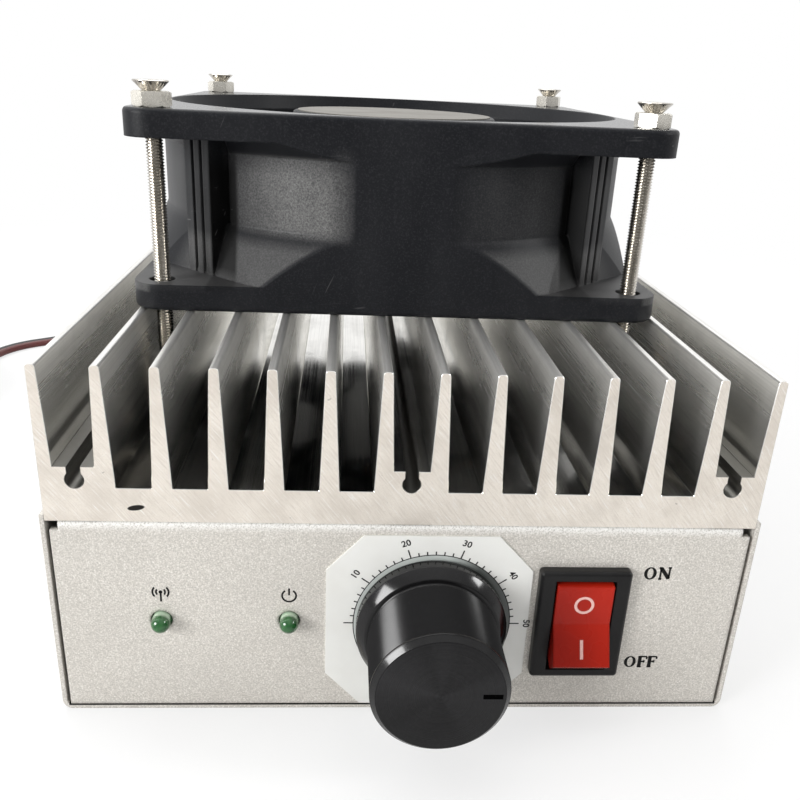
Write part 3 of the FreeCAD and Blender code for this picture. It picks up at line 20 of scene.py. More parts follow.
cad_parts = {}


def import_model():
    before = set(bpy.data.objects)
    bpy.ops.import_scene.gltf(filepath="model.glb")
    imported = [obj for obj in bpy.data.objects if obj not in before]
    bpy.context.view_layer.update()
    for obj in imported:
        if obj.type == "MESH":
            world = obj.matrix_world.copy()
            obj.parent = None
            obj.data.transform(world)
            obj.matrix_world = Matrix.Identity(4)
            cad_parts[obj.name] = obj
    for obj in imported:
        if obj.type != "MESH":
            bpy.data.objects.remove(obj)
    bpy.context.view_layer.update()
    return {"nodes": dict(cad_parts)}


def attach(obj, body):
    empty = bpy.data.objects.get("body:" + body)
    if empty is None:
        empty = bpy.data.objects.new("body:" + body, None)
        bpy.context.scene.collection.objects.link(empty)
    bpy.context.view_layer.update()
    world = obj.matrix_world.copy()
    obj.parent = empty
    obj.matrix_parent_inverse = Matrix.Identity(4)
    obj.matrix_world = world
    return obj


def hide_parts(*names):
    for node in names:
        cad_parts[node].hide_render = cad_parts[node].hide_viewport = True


log = logging.getLogger("amplifier")

MM = 0.001
FRONT, REAR = -75.0, 75.0
BLACK = (0.0, 0.0, 0.0)
WHITE = (1.0, 1.0, 1.0)

Colour = tuple[float, float, float]
Point = tuple[float, float, float]
Span = tuple[float, float]
Number = Union[float, "Value"]


# ---------------------------------------------------------------- shader expressions
class Value:
    """A shader socket that stands in expressions: maths on it adds Math nodes."""

    def __init__(self, graph: "Graph", socket: bpy.types.NodeSocket) -> None:
        """Wrap one output socket of a graph."""
        self.graph = graph
        self.socket = socket

    def _maths(self, operation: str, *terms: Number) -> "Value":
        """One Math node of an operation on terms."""
        return self.graph.node("ShaderNodeMath", {"operation": operation}, dict(enumerate(terms)))

    def __add__(self, other: Number) -> "Value":
        """Sum."""
        return self._maths("ADD", self, other)

    __radd__ = __add__

    def __sub__(self, other: Number) -> "Value":
        """Difference."""
        return self._maths("SUBTRACT", self, other)

    def __rsub__(self, other: Number) -> "Value":
        """Reflected difference."""
        return self._maths("SUBTRACT", other, self)

    def __mul__(self, other: Number) -> "Value":
        """Product."""
        return self._maths("MULTIPLY", self, other)

    __rmul__ = __mul__

    def __truediv__(self, other: Number) -> "Value":
        """Quotient."""
        return self._maths("DIVIDE", self, other)

    def __pow__(self, other: Number) -> "Value":
        """Power."""
        return self._maths("POWER", self, other)

    def __abs__(self) -> "Value":
        """Size without its sign."""
        return self._maths("ABSOLUTE", self)

    def over(self, other: Number) -> "Value":
        """The larger of this and another value."""
        return self._maths("MAXIMUM", self, other)

    def under(self, other: Number) -> "Value":
        """The smaller of this and another value."""
        return self._maths("MINIMUM", self, other)

    def sine(self) -> "Value":
        """Sine of this value in radians."""
        return self._maths("SINE", self)

    def angle(self, other: Number) -> "Value":
        """Angle in radians whose tangent is this value over another."""
        return self._maths("ARCTAN2", self, other)

    def between(self, low: float, high: float, start: float = 0.0, end: float = 1.0) -> "Value":
        """This value mapped so that low gives start and high gives end, and held between them."""
        inputs = {0: self, 1: low, 2: high, 3: start, 4: end}
        return self.graph.node("ShaderNodeMapRange", {"clamp": True}, inputs)

    def band(self, rise: Span, fall: Span) -> "Value":
        """1 inside a range and 0 outside it, going up over one stretch and down over another."""
        return self.between(*rise) * self.between(*fall)


class Graph:
    """Shader nodes of a material or of the world."""

    def __init__(self, owner: Union[bpy.types.Material, bpy.types.World]) -> None:
        """Empty the owner's node tree and stand on it.

        Args:
            owner: Material or world.
        """
        owner.use_nodes = True
        self.tree = owner.node_tree
        self.tree.nodes.clear()

    def node(
        self,
        kind: str,
        settings: Optional[dict[str, Any]] = None,
        inputs: Optional[dict[Union[int, str], Any]] = None,
        output: Union[int, str] = 0,
    ) -> Optional[Value]:
        """Add one node.

        Args:
            kind: Node type.
            settings: Properties that are set first.
            inputs: Values or links of its sockets, by number or name.
            output: Socket that is returned.

        Returns:
            The output socket as a value, or nothing for an output node.
        """
        made = self.tree.nodes.new(kind)
        for name, value in (settings or {}).items():
            setattr(made, name, value)
        for place, value in (inputs or {}).items():
            self.feed(made.inputs[place], value)
        return Value(self, made.outputs[output]) if made.outputs else None

    def feed(self, socket: bpy.types.NodeSocket, value: Any) -> None:
        """Link a value to a socket, or set the socket's own number or colour.

        Args:
            socket: Input socket.
            value: A shader value, a number, or a colour or vector.
        """
        if isinstance(value, Value):
            self.tree.links.new(value.socket, socket)
        elif isinstance(value, tuple) and socket.type == "RGBA":
            socket.default_value = (*value, 1.0)
        else:
            socket.default_value = value

    def outputs(self, value: Value, *names: Union[int, str]) -> list[Value]:
        """Further outputs of the node that a value comes from."""
        return [Value(self, value.socket.node.outputs[name]) for name in names]

    @cached_property
    def place(self) -> Value:
        """Place on the piece, in millimetres."""
        inputs = {0: self.node("ShaderNodeTexCoord", output="Object"), "Scale": 1.0 / MM}
        return self.node("ShaderNodeVectorMath", {"operation": "SCALE"}, inputs)

    @cached_property
    def xyz(self) -> list[Value]:
        """X, Y and Z of the place on the piece, in millimetres."""
        return self.axes(self.place)

    def axes(self, vector: Value) -> list[Value]:
        """The X, Y and Z of a vector."""
        return self.outputs(self.node("ShaderNodeSeparateXYZ", None, {0: vector}), 0, 1, 2)

    def stretched(self, stretch: Point, turn: Point = (0.0, 0.0, 0.0)) -> Value:
        """The place, for a pattern drawn out so many times along axes turned by degrees."""
        inputs = {0: self.place, 2: tuple(math.radians(angle) for angle in turn), 3: stretch}
        return self.node("ShaderNodeMapping", {"vector_type": "TEXTURE"}, inputs)

    def noise(self, size: float, detail: float = 2.0, rough: float = 0.5,
              where: Optional[Value] = None) -> Value:
        """Soft noise from 0 to 1.

        Args:
            size: Size of its features.
            detail: Octaves.
            rough: Weight of the finer octaves.
            where: Vector that it is read at, the place if None.

        Returns:
            The noise.
        """
        inputs = {"Vector": where or self.place, "Scale": 1.0 / size, "Detail": detail,
                  "Roughness": rough}
        return self.node("ShaderNodeTexNoise", None, inputs)

    def cells(self, size: float) -> Value:
        """Distance from the nearest of scattered points."""
        return self.node("ShaderNodeTexVoronoi", None, {"Vector": self.place, "Scale": 1.0 / size})

    def rays(self) -> list[Value]:
        """Whether a ray comes from the camera, from a reflection, or through glass."""
        path = self.node("ShaderNodeLightPath")
        return self.outputs(path, "Is Camera Ray", "Is Glossy Ray", "Is Transmission Ray")

    def blend(self, share: Number, first: Any, second: Any) -> Value:
        """Mix of two colours, with a share of the second."""
        return self.node("ShaderNodeMix", {"data_type": "RGBA"}, {0: share, 6: first, 7: second}, 2)

    def layered(self, base: Any, *layers: tuple[Number, Any]) -> Any:
        """A colour with others laid over it in turn.

        Args:
            base: Lowest colour.
            layers: Share and colour of each layer.

        Returns:
            The colour.
        """
        for share, colour in layers:
            base = self.blend(share, base, colour)
        return base

    def bump(self, height: Value, depth: float, edge: float = 0.0, strength: float = 1.0) -> Value:
        """Surface normal of a height pattern over softened edges.

        Args:
            height: Height from 0 to 1.
            depth: Depth of the pattern.
            edge: Radius of the softened edges, 0 for none.
            strength: Weight of the pattern.

        Returns:
            The normal.
        """
        inputs = {"Height": height, "Distance": depth * MM, "Strength": strength}
        if edge:
            inputs["Normal"] = self.node("ShaderNodeBevel", {"samples": 4}, {"Radius": edge * MM})
        return self.node("ShaderNodeBump", None, inputs)

    def surface(self, **sockets: Any) -> None:
        """End in a Principled surface.

        Args:
            sockets: Values of its sockets, named in small letters with underscores for spaces.
        """
        named = {name.replace("_", " ").title().replace("Ior", "IOR"): value
                 for name, value in sockets.items()}
        shader = self.node("ShaderNodeBsdfPrincipled", None, named)
        self.node("ShaderNodeOutputMaterial", None, {0: shader})


# ---------------------------------------------------------------- finishes
@dataclass(frozen=True)
class Finish:
    """A finish that one or more pieces wear."""

    name: str

    def material(self) -> bpy.types.Material:
        """The finish's material, made the first time it is asked for.

        Returns:
            The material.
        """
        title = f"{self.name}_finish"
        found = bpy.data.materials.get(title)
        if found:
            return found
        made = bpy.data.materials.new(title)
        self.paint(Graph(made))
        return made

    def paint(self, graph: Graph) -> None:
        """Add the finish's nodes to a graph."""
        raise NotImplementedError

    def dress(self, node: bpy.types.Object) -> None:
        """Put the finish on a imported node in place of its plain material."""
        node.data.materials.clear()
        node.data.materials.append(self.material())


@dataclass(frozen=True)
class SpeckledPaint(Finish):
    """Silver-grey paint with fine bright and dark grains, a painted highlight just under a bend,
    and painted shade on the inner faces of the walls.
    """

    base: Colour = (0.69, 0.655, 0.60)
    bright: Colour = (0.94, 0.92, 0.88)
    dark: Colour = (0.44, 0.42, 0.385)
    glint: Colour = (0.95, 0.94, 0.92)
    wear_and_highlight: Colour = (0.95, 0.94, 0.91)
    # Painted shade for the inner faces of the walls.
    inside: Colour = (0.006, 0.006, 0.006)
    grain: float = 0.27
    edge: float = 0.5
    wall_edge: Span = (0.55, 0.65)
    shaded_inner_wall: float = 0.0
    bend: float = 0.0

    def paint(self, graph: Graph) -> None:
        """Grain from noise, glints from cells, soft patches, and a fine orange-peel bump.

        Args:
            graph: The material's nodes.
        """
        grain = graph.noise(self.grain, 3.0, 0.7)
        patch = graph.noise(24.0, 3.0)
        colour = graph.layered(
            self.base,
            (grain.between(0.56, 0.3, 0.0, 0.95), self.dark),
            (grain.between(0.55, 0.7, 0.0, 0.9), self.bright),
            (graph.cells(self.grain * 1.6).between(0.16, 0.05, 0.0, 0.6), self.glint),
            (patch.between(0.35, 0.7, 0.0, 0.22), self.dark),
        )
        x, _, z = graph.xyz
        # Painted highlight: the paint is pale just under the bend, where a rounded bend would catch
        # the light.
        if self.bend:
            near = z.between(self.bend - 1.5, self.bend - 0.3)
            colour = graph.blend(near * grain.between(0.36, 0.52, 0.15, 0.9), colour, self.wear_and_highlight)
        # Painted shade: the inner faces of the side walls, in shade behind the gaps beside the
        # panel, are painted near-black above their lower edge.
        if self.shaded_inner_wall:
            behind = abs(x).between(self.shaded_inner_wall + 0.1, self.shaded_inner_wall + 0.03)
            colour = graph.blend(behind * z.between(*self.wall_edge), colour, self.inside)
        graph.surface(
            base_color=colour,
            metallic=0.25,
            roughness=grain.between(0.3, 0.7, 0.5, 0.36),
            normal=graph.bump(grain + patch * 0.4, 0.05, self.edge, 0.55),
        )


@dataclass(frozen=True)
class DrawnMetal(Finish):
    """Extruded aluminium: die lines along Y, cloudy patches, polished floors and painted shade in
    the keyhole slots.
    """

    light: Colour = (0.93, 0.92, 0.89)
    dull: Colour = (0.56, 0.55, 0.52)
    slot_shade: Colour = (0.10, 0.095, 0.08)
    line: float = 0.3
    floor: float = 40.75
    end_slot: Span = (46.5, 54.3)
    end_slot_top: float = 44.3
    middle_slot: float = 3.6
    middle_slot_top: float = 44.05

    def paint(self, graph: Graph) -> None:
        """Lines are noise stretched along Y; smudges come from broad noise.

        Args:
            graph: The material's nodes.
        """
        along = graph.stretched((1.0, 120.0, 1.0))
        lines = graph.noise(self.line, 3.0, 0.6, along)
        coarse = graph.noise(2.4, 2.0, 0.5, along)
        smudge = graph.noise(10.0, 4.0, 0.6).between(0.45, 0.7) * coarse.between(0.3, 0.65)
        x, _, z = graph.xyz
        side = z.between(self.floor + 2.0, self.floor + 18.0)
        inner, outer = self.end_slot
        ends = abs(x).band((inner, inner + 0.5), (outer, outer - 0.3))
        middle = abs(x).between(self.middle_slot, self.middle_slot - 0.4)
        # Painted shade: the keyhole slots of the raised channels are darkened where shade falls in
        # them.
        slot = (ends * z.between(self.end_slot_top, self.end_slot_top - 0.1)
                + middle * z.between(self.middle_slot_top, self.middle_slot_top - 0.2))
        graph.surface(
            base_color=graph.layered(
                self.light,
                (smudge * 0.55, self.dull),
                (lines.between(0.55, 0.4, 0.0, 0.22), self.dull),
                (slot * 0.8, self.slot_shade),
            ),
            metallic=side * -0.15 + 1.0,
            roughness=lines.between(0.3, 0.7, 0.07, 0.13) + smudge * 0.07
            + side * 0.21 + slot * 0.3,
            normal=graph.bump(lines + coarse, 0.02, 0.0, 0.25),
        )


@dataclass(frozen=True)
class SawnMetal(Finish):
    """Sawn aluminium end: warm and pale, with slanting saw marks, dark specks and painted shade in
    one dent.
    """

    light: Colour = (0.865, 0.805, 0.725)
    dull: Colour = (0.66, 0.60, 0.53)
    bright: Colour = (0.97, 0.95, 0.92)
    speck: Colour = (0.22, 0.19, 0.16)
    dent_shade: Colour = (0.012, 0.01, 0.008)
    mark: float = 0.22
    slant: float = 52.0
    dent_x: float = -41.2
    dent_z: float = 37.5
    dent_length: float = 1.3
    dent_height: float = 0.46
    dent_slope: float = 0.13

    def paint(self, graph: Graph) -> None:
        """Saw marks are noise stretched along a slanted line in XZ; the dent's painted shade is an
        ellipse.

        Args:
            graph: The material's nodes.
        """
        slanted = graph.stretched((16.0, 1.0, 1.0), (0.0, self.slant, 0.0))
        marks = graph.noise(self.mark, 3.0, 0.6, slanted)
        crossed = graph.stretched((22.0, 1.0, 1.0), (0.0, -40.0, 0.0))
        scratch = graph.noise(0.3, 1.0, 0.5, crossed).between(0.70, 0.78)
        fine = graph.noise(0.25, 2.0)
        x, _, z = graph.xyz
        # Painted shade: a near-black ellipse stands for the shade inside a dent.
        along, up = x - self.dent_x, z - self.dent_z
        above = (up - along * self.dent_slope) / self.dent_height
        dent = (along / self.dent_length) ** 2.0 + above ** 2.0
        graph.surface(
            base_color=graph.layered(
                self.light,
                (marks.between(0.5, 0.32, 0.0, 0.6), self.dull),
                (graph.noise(6.0, 3.0).between(0.42, 0.72, 0.0, 0.7), self.dull),
                (fine.between(0.5, 0.75, 0.0, 0.45), self.dull),
                (marks.between(0.58, 0.72, 0.0, 0.8) + scratch * 0.5, self.bright),
                (graph.noise(1.1, 2.0).between(0.74, 0.8) * 0.6, self.speck),
                (dent.between(1.1, 0.8), self.dent_shade),
            ),
            metallic=0.45,
            roughness=marks.between(0.3, 0.7, 0.58, 0.46),
            normal=graph.bump(marks + fine * 0.5, 0.03, 0.0, 0.4),
        )


@dataclass(frozen=True)
class Moulded(Finish):
    """Moulded plastic or rubber with a fine grain, soft wear and dust."""

    base: Colour
    wear_and_highlight: Colour
    rough: float = 0.45
    grain: float = 0.35
    depth: float = 0.02
    edge: float = 0.25
    specular: float = 0.4

    def paint(self, graph: Graph) -> None:
        """Grain lifts the colour a little, and broad noise adds wear.

        Args:
            graph: The material's nodes.
        """
        grain = graph.noise(self.grain, 3.0, 0.6)
        wear = graph.noise(11.0, 4.0, 0.6)
        share = wear.between(0.4, 0.75, 0.0, 0.5) + grain.between(0.5, 0.8, 0.0, 0.35)
        graph.surface(
            base_color=graph.blend(share, self.base, self.wear_and_highlight),
            roughness=wear.between(0.3, 0.7, self.rough - 0.05, self.rough + 0.07),
            specular_ior_level=self.specular,
            normal=graph.bump(grain, self.depth, self.edge, 0.5),
        )


@dataclass(frozen=True)
class FanPlastic(Finish):
    """Glass-filled black plastic: pale fibres, a few scratches, painted highlights on the barrel in
    the recesses, on the pillars and on the flares, and painted shade in the gaps beside the
    pillars.
    """

    base: Colour = (0.0070, 0.0077, 0.0098)
    pale: Colour = (0.085, 0.085, 0.09)
    painted_highlight: Colour = (0.19, 0.188, 0.184)
    scratched: Colour = (0.30, 0.30, 0.30)
    axis_x: float = -1.0
    axis_y: float = 0.5
    barrel: float = 47.0
    top: float = 92.35
    front: Span = (-28.0, -34.0)
    recess_low: Span = (63.0, 66.0)
    recess_high: Span = (88.0, 82.0)
    highlight_from: Span = (71.5, 74.0)
    left_edge: Span = (-8.0, -13.0)
    left_fade: Span = (-31.0, -19.0)
    right_fade: Span = (8.0, 16.0)
    flare_face: float = -45.0
    flare_low: Span = (62.8, 63.2)
    flare_high: Span = (72.0, 70.0)
    gap: Span = (28.2, 33.5)

    def paint(self, graph: Graph) -> None:
        """Fibres are thresholded fine noise; scratches are thin stretched noise lines.

        Args:
            graph: The material's nodes.
        """
        fibre = graph.noise(0.3, 3.0, 0.75)
        flow = graph.noise(7.0, 3.0, 0.5, graph.stretched((1.0, 1.0, 3.0)))
        steep = graph.noise(0.4, 1.0, 0.5, graph.stretched((1.0, 3.0, 24.0), (0.0, 24.0, 0.0)))
        level = graph.noise(0.5, 1.0, 0.5, graph.stretched((30.0, 3.0, 1.0), (0.0, -4.0, 0.0)))
        where = graph.noise(13.0, 2.0).between(0.6, 0.7)
        scratch = (steep.between(0.72, 0.78) + level.between(0.72, 0.78)) * where
        x, y, z = graph.xyz
        across, deep = x - self.axis_x, y - self.axis_y
        radius = (across * across + deep * deep) ** 0.5
        recess = z.band(self.recess_low, self.recess_high)
        front = y.between(*self.front)
        left = across.between(*self.left_edge) * across.between(*self.left_fade, 0.25, 1.0)
        inner, outer = self.gap
        # Painted highlight: the barrel's curved face in the recesses is painted light grey,
        # strongest on the left, where the light catches it.
        barrel = radius.between(self.barrel + 0.6, self.barrel) * recess
        barrel = barrel * z.between(*self.highlight_from)
        barrel = barrel * (left + across.between(*self.right_fade, 0.0, 0.14))
        barrel = barrel * fibre.between(0.3, 0.7, 0.2, 1.0) * flow.between(0.35, 0.65, 0.75, 1.1)
        # Painted highlight on the pillars' edges and on the flares below the recesses.
        pillar = abs(across).between(outer - 0.5, outer) * recess * front
        flare = y.between(self.flare_face - 0.3, self.flare_face) * front
        flare = flare * abs(across).between(8.0, 9.0) * z.band(self.flare_low, self.flare_high)
        # Painted shade: the gaps between the pillars and the barrel are painted near-black towards
        # the front.
        gap = abs(across).band((inner, inner + 0.7), (outer, outer - 0.5)) * recess
        graph.surface(
            base_color=graph.layered(
                self.base,
                (fibre.between(0.5, 0.78, 0.0, 0.24), self.pale),
                (flow.between(0.45, 0.8, 0.0, 0.06), self.pale),
                (barrel + pillar * flow.between(0.3, 0.7, 0.06, 0.2), self.painted_highlight),
                (flare * fibre.between(0.3, 0.7, 0.18, 0.42), self.painted_highlight),
                (gap * y.between(-30.0, -34.0) * 0.9, BLACK),
                (scratch.under(1.0) * 0.4, self.scratched),
            ),
            roughness=fibre.between(0.3, 0.75, 0.36, 0.5) + scratch * 0.1
            - z.between(self.top - 0.1, self.top) * 0.22,
            specular_ior_level=0.2,
            normal=graph.bump(fibre + flow * 0.5, 0.015, 0.5, 0.4),
        )


@dataclass(frozen=True)
class Plated(Finish):
    """Bright plated or stainless metal with faint handling marks."""

    base: Colour
    tarnish: Colour
    rough: float
    edge: float = 0.12
    metal: float = 1.0

    def paint(self, graph: Graph) -> None:
        """Tarnish follows broad noise, and fine noise breaks up the reflections.

        Args:
            graph: The material's nodes.
        """
        fine = graph.noise(0.7)
        tarnish = graph.noise(3.5, 3.0).between(0.42, 0.75, 0.0, 0.6)
        graph.surface(
            base_color=graph.blend(tarnish, self.base, self.tarnish),
            metallic=self.metal,
            roughness=fine.between(0.3, 0.7, self.rough - 0.06, self.rough + 0.08),
            normal=graph.bump(fine, 0.01, self.edge, 0.2),
        )


@dataclass(frozen=True)
class Anodised(Finish):
    """Black anodised metal, turned: rings round its axis, a sheen on its face, a glossy skirt."""

    base: Colour = (0.004, 0.0038, 0.0042)
    sheen: Colour = (0.024, 0.0235, 0.025)
    centre_x: float = 4.2
    centre_z: float = 17.25
    face: float = 9.5
    rim: float = 10.2
    body: float = 10.35
    face_shade: Span = (-9.0, 5.0)

    def paint(self, graph: Graph) -> None:
        """Rings are noise of the distance from the axis; slow waves round it give fans of light.

        Args:
            graph: The material's nodes.
        """
        x, y, z = graph.xyz
        across, up = x - self.centre_x, z - self.centre_z
        radius = (across ** 2.0 + up ** 2.0) ** 0.5
        ring = graph.node("ShaderNodeCombineXYZ", None, {0: radius, 1: y})
        lines = graph.noise(0.16, 2.0, 0.6, ring)
        grain = graph.noise(0.5, 3.0, 0.7)
        angle = up.angle(across)
        fans = (angle * 2.0 + 2.2).sine().between(-0.2, 1.0) * 0.6
        fans = fans + (angle * 5.0).sine().between(0.3, 1.0) * 0.25
        inside = radius.between(self.face, self.face - 0.2)
        skirt = radius.between(self.body, self.body + 0.1)
        rim = radius.band((self.face - 0.05, self.face), (self.rim, self.rim - 0.05))
        turned = lines.between(0.35, 0.7, 0.1, 0.4) + fans * 0.6
        turned = turned * up.between(*self.face_shade, 0.3, 1.0)
        share = inside * turned + grain.between(0.45, 0.8) * 0.25
        graph.surface(
            base_color=graph.blend(share, self.base, self.sheen),
            roughness=lines.between(0.3, 0.7, 0.19, 0.25) + inside * 0.09 - skirt * 0.06,
            specular_ior_level=0.27,
            coat_weight=skirt * 0.4 + rim * 0.5,
            coat_roughness=0.09,
            normal=graph.bump(lines * (inside * 0.6 + 0.03), 0.06),
        )


@dataclass(frozen=True)
class RockerGloss(Finish):
    """Glossy red plastic, with a little painted shade towards its lower left."""

    base: Colour = (0.42, 0.016, 0.006)
    deep: Colour = (0.16, 0.005, 0.003)
    shade_leftwards: Span = (31.5, 25.0)
    shade_downwards: Span = (20.0, 15.0)

    def paint(self, graph: Graph) -> None:
        """The painted shade follows the place and broad noise; fine noise gives a trace of texture.

        Args:
            graph: The material's nodes.
        """
        x, _, z = graph.xyz
        cloud = graph.noise(6.0)
        # Painted shade: the deep colour darkens the left and the lower part, where less light
        # falls.
        shade = x.between(*self.shade_leftwards) * 0.5 + z.between(*self.shade_downwards) * 0.1
        graph.surface(
            base_color=graph.blend(shade * cloud.between(0.2, 0.7, 0.7, 1.0), self.base, self.deep),
            roughness=cloud.between(0.3, 0.7, 0.24, 0.34),
            specular_ior_level=0.2,
            normal=graph.bump(graph.noise(0.3), 0.006, 0.45, 0.4),
        )


@dataclass(frozen=True)
class GreenLens(Finish):
    """Diffused green indicator, with a pale painted reflection near the top of its dome."""

    base: Colour = (0.013, 0.09, 0.022)
    pale: Colour = (0.05, 0.20, 0.055)
    lens_reflection: Colour = (0.62, 0.80, 0.60)
    dome: Span = (-76.3, -75.7)
    upper: Span = (17.9, 18.5)

    def paint(self, graph: Graph) -> None:
        """Fine cloud inside the lens under a pale painted reflection on its upper side.

        Args:
            graph: The material's nodes.
        """
        cloud = graph.noise(0.9)
        _, y, z = graph.xyz
        # Painted reflection: the upper side of the lens next to the panel is pale.
        lens_reflection = y.between(*self.dome) * z.between(*self.upper)
        graph.surface(
            base_color=graph.layered(
                self.base,
                (cloud.between(0.35, 0.65, 0.0, 0.5), self.pale),
                (lens_reflection * 0.85, self.lens_reflection),
            ),
            roughness=cloud.between(0.3, 0.7, 0.14, 0.24),
            transmission_weight=0.15,
            coat_weight=0.6,
            coat_roughness=0.04,
            normal=graph.bump(cloud, 0.02, 0.0, 0.3),
        )


@dataclass(frozen=True)
class PrintedSheet(Finish):
    """White dial label with a grey-green printed disc inside the scale ring, and a painted shadow
    of the knob on the disc's right.
    """

    base: Colour = (0.77, 0.77, 0.74)
    stain: Colour = (0.62, 0.60, 0.55)
    inner: Colour = (0.44, 0.49, 0.47)
    dark: Colour = (0.03, 0.036, 0.033)
    centre_x: float = 4.4
    centre_z: float = 17.3
    ring: float = 12.65
    knob_shadow_from: Span = (2.0, 7.0)

    def paint(self, graph: Graph) -> None:
        """The disc is a step in the distance from the dial's axis; a faint stain lies under it.

        Args:
            graph: The material's nodes.
        """
        x, _, z = graph.xyz
        across, up = x - self.centre_x, z - self.centre_z
        inside = ((across ** 2.0 + up ** 2.0) ** 0.5).between(self.ring + 0.02, self.ring - 0.02)
        fine = graph.noise(0.25)
        graph.surface(
            base_color=graph.layered(
                self.base,
                (graph.noise(7.0, 3.0).between(0.45, 0.8, 0.0, 0.3), self.stain),
                (inside * 0.7, self.inner),
                # Painted shadow: the disc's right side, where the knob's shadow falls, is painted
                # near-black.
                (inside * across.between(*self.knob_shadow_from) * 0.85, self.dark),
            ),
            roughness=fine.between(0.3, 0.7, 0.3, 0.42),
            normal=graph.bump(fine, 0.01, 0.08, 0.4),
        )


@dataclass(frozen=True)
class Ink(Finish):
    """Screen-printed ink with slightly uneven cover."""

    base: Colour
    thin: Colour
    specular: float

    def paint(self, graph: Graph) -> None:
        """Cover thins in fine spots.

        Args:
            graph: The material's nodes.
        """
        spots = graph.noise(0.3, 3.0, 0.7)
        graph.surface(
            base_color=graph.blend(spots.between(0.5, 0.75), self.base, self.thin),
            roughness=spots.between(0.3, 0.7, 0.38, 0.5),
            specular_ior_level=self.specular,
            normal=graph.bump(spots, 0.006, 0.0, 0.4),
        )


@dataclass(frozen=True)
class Laminate(Finish):
    """Circuit board: solder mask over copper tracks, with glass weave."""

    base: Colour = (0.012, 0.11, 0.035)
    track: Colour = (0.05, 0.24, 0.07)
    weave: float = 9.0
    track_length: float = 9.0
    track_pitch: float = 2.6
    track_gap: float = 0.5

    def paint(self, graph: Graph) -> None:
        """Tracks are bricks in the board's plane; the weave is a product of two sines.

        Args:
            graph: The material's nodes.
        """
        inputs = {"Vector": graph.place, "Scale": 1.0, "Brick Width": self.track_length,
                  "Row Height": self.track_pitch, "Mortar Size": self.track_gap,
                  "Mortar Smooth": 0.1}
        tracks = graph.node("ShaderNodeTexBrick", None, inputs, "Fac")
        x, y, _ = graph.xyz
        weave = (x * self.weave).sine() * (y * self.weave).sine()
        graph.surface(
            base_color=graph.blend(tracks, self.base, self.track),
            roughness=weave.between(-1.0, 1.0, 0.32, 0.42),
            coat_weight=0.2,
            normal=graph.bump(weave * 0.1 + tracks, 0.03, 0.1, 0.5),
        )


@dataclass(frozen=True)
class Wound(Finish):
    """Enamelled or insulated wire wound close: fine ridges with a lacquer gloss."""

    base: Colour = (0.42, 0.13, 0.035)
    shade: Colour = (0.10, 0.03, 0.012)
    pitch: float = 0.6

    def paint(self, graph: Graph) -> None:
        """Ridges are sines of the place; noise varies their tone.

        Args:
            graph: The material's nodes.
        """
        x, y, z = graph.xyz
        ridge = ((x + y + z * 0.4) * (2 * math.pi / self.pitch)).sine()
        tone = graph.noise(2.0)
        share = ridge.between(-0.2, -1.0, 0.0, 0.8) + tone.between(0.4, 0.8, 0.0, 0.3)
        graph.surface(
            base_color=graph.blend(share, self.base, self.shade),
            metallic=0.6,
            roughness=tone.between(0.3, 0.7, 0.25, 0.4),
            normal=graph.bump(ridge, 0.12, 0.0, 0.8),
        )


@dataclass(frozen=True)
class LeadSkin(Finish):
    """Twin lead: one core black and the other dark red, with faint scuffs along it."""

    black: Colour = (0.012, 0.011, 0.011)
    red: Colour = (0.085, 0.008, 0.007)
    scuffed: Colour = (0.20, 0.17, 0.16)

    def paint(self, graph: Graph) -> None:
        """The cores' colours meet at the UV map's half; scuffs are noise.

        Args:
            graph: The material's nodes.
        """
        _, side, _ = graph.axes(graph.node("ShaderNodeTexCoord", output="UV"))
        scuff = graph.noise(1.4, 4.0, 0.65)
        graph.surface(
            base_color=graph.layered(
                self.black,
                (side.between(0.495, 0.505), self.red),
                (scuff.between(0.58, 0.8, 0.0, 0.35), self.scuffed),
            ),
            roughness=scuff.between(0.3, 0.7, 0.3, 0.45),
            normal=graph.bump(scuff, 0.02, 0.0, 0.5),
        )


@dataclass(frozen=True)
class StudioWhite(Finish):
    """Pale floor that keeps its shadow near the object and is plain white farther off."""

    level: Colour = (0.86, 0.86, 0.86)
    mottle: Colour = (0.8, 0.8, 0.8)
    lift: float = 0.6
    front: float = 0.4
    around: Span = (130.0, 420.0)
    behind: Span = (-350.0, 150.0)

    def paint(self, graph: Graph) -> None:
        """A little of its own white for the camera and for reflections, over a faint grain.

        Args:
            graph: The material's nodes.
        """
        seen, glossy, through = graph.rays()
        x, y, _ = graph.xyz
        away = ((x * x + y * y) ** 0.5).between(*self.around, self.lift, 1.0)
        direct = (seen + through).under(1.0) * away
        mirrored = glossy * y.between(*self.behind, self.front, 1.0)
        tone = graph.blend(graph.noise(3.0) * 0.03, self.level, self.mottle)
        graph.surface(
            base_color=graph.blend(direct + glossy - mirrored * 0.4, tone, BLACK),
            roughness=0.9,
            specular_ior_level=0.0,
            emission_color=graph.blend(direct + mirrored * 0.5, BLACK, WHITE),
            emission_strength=1.0,
        )


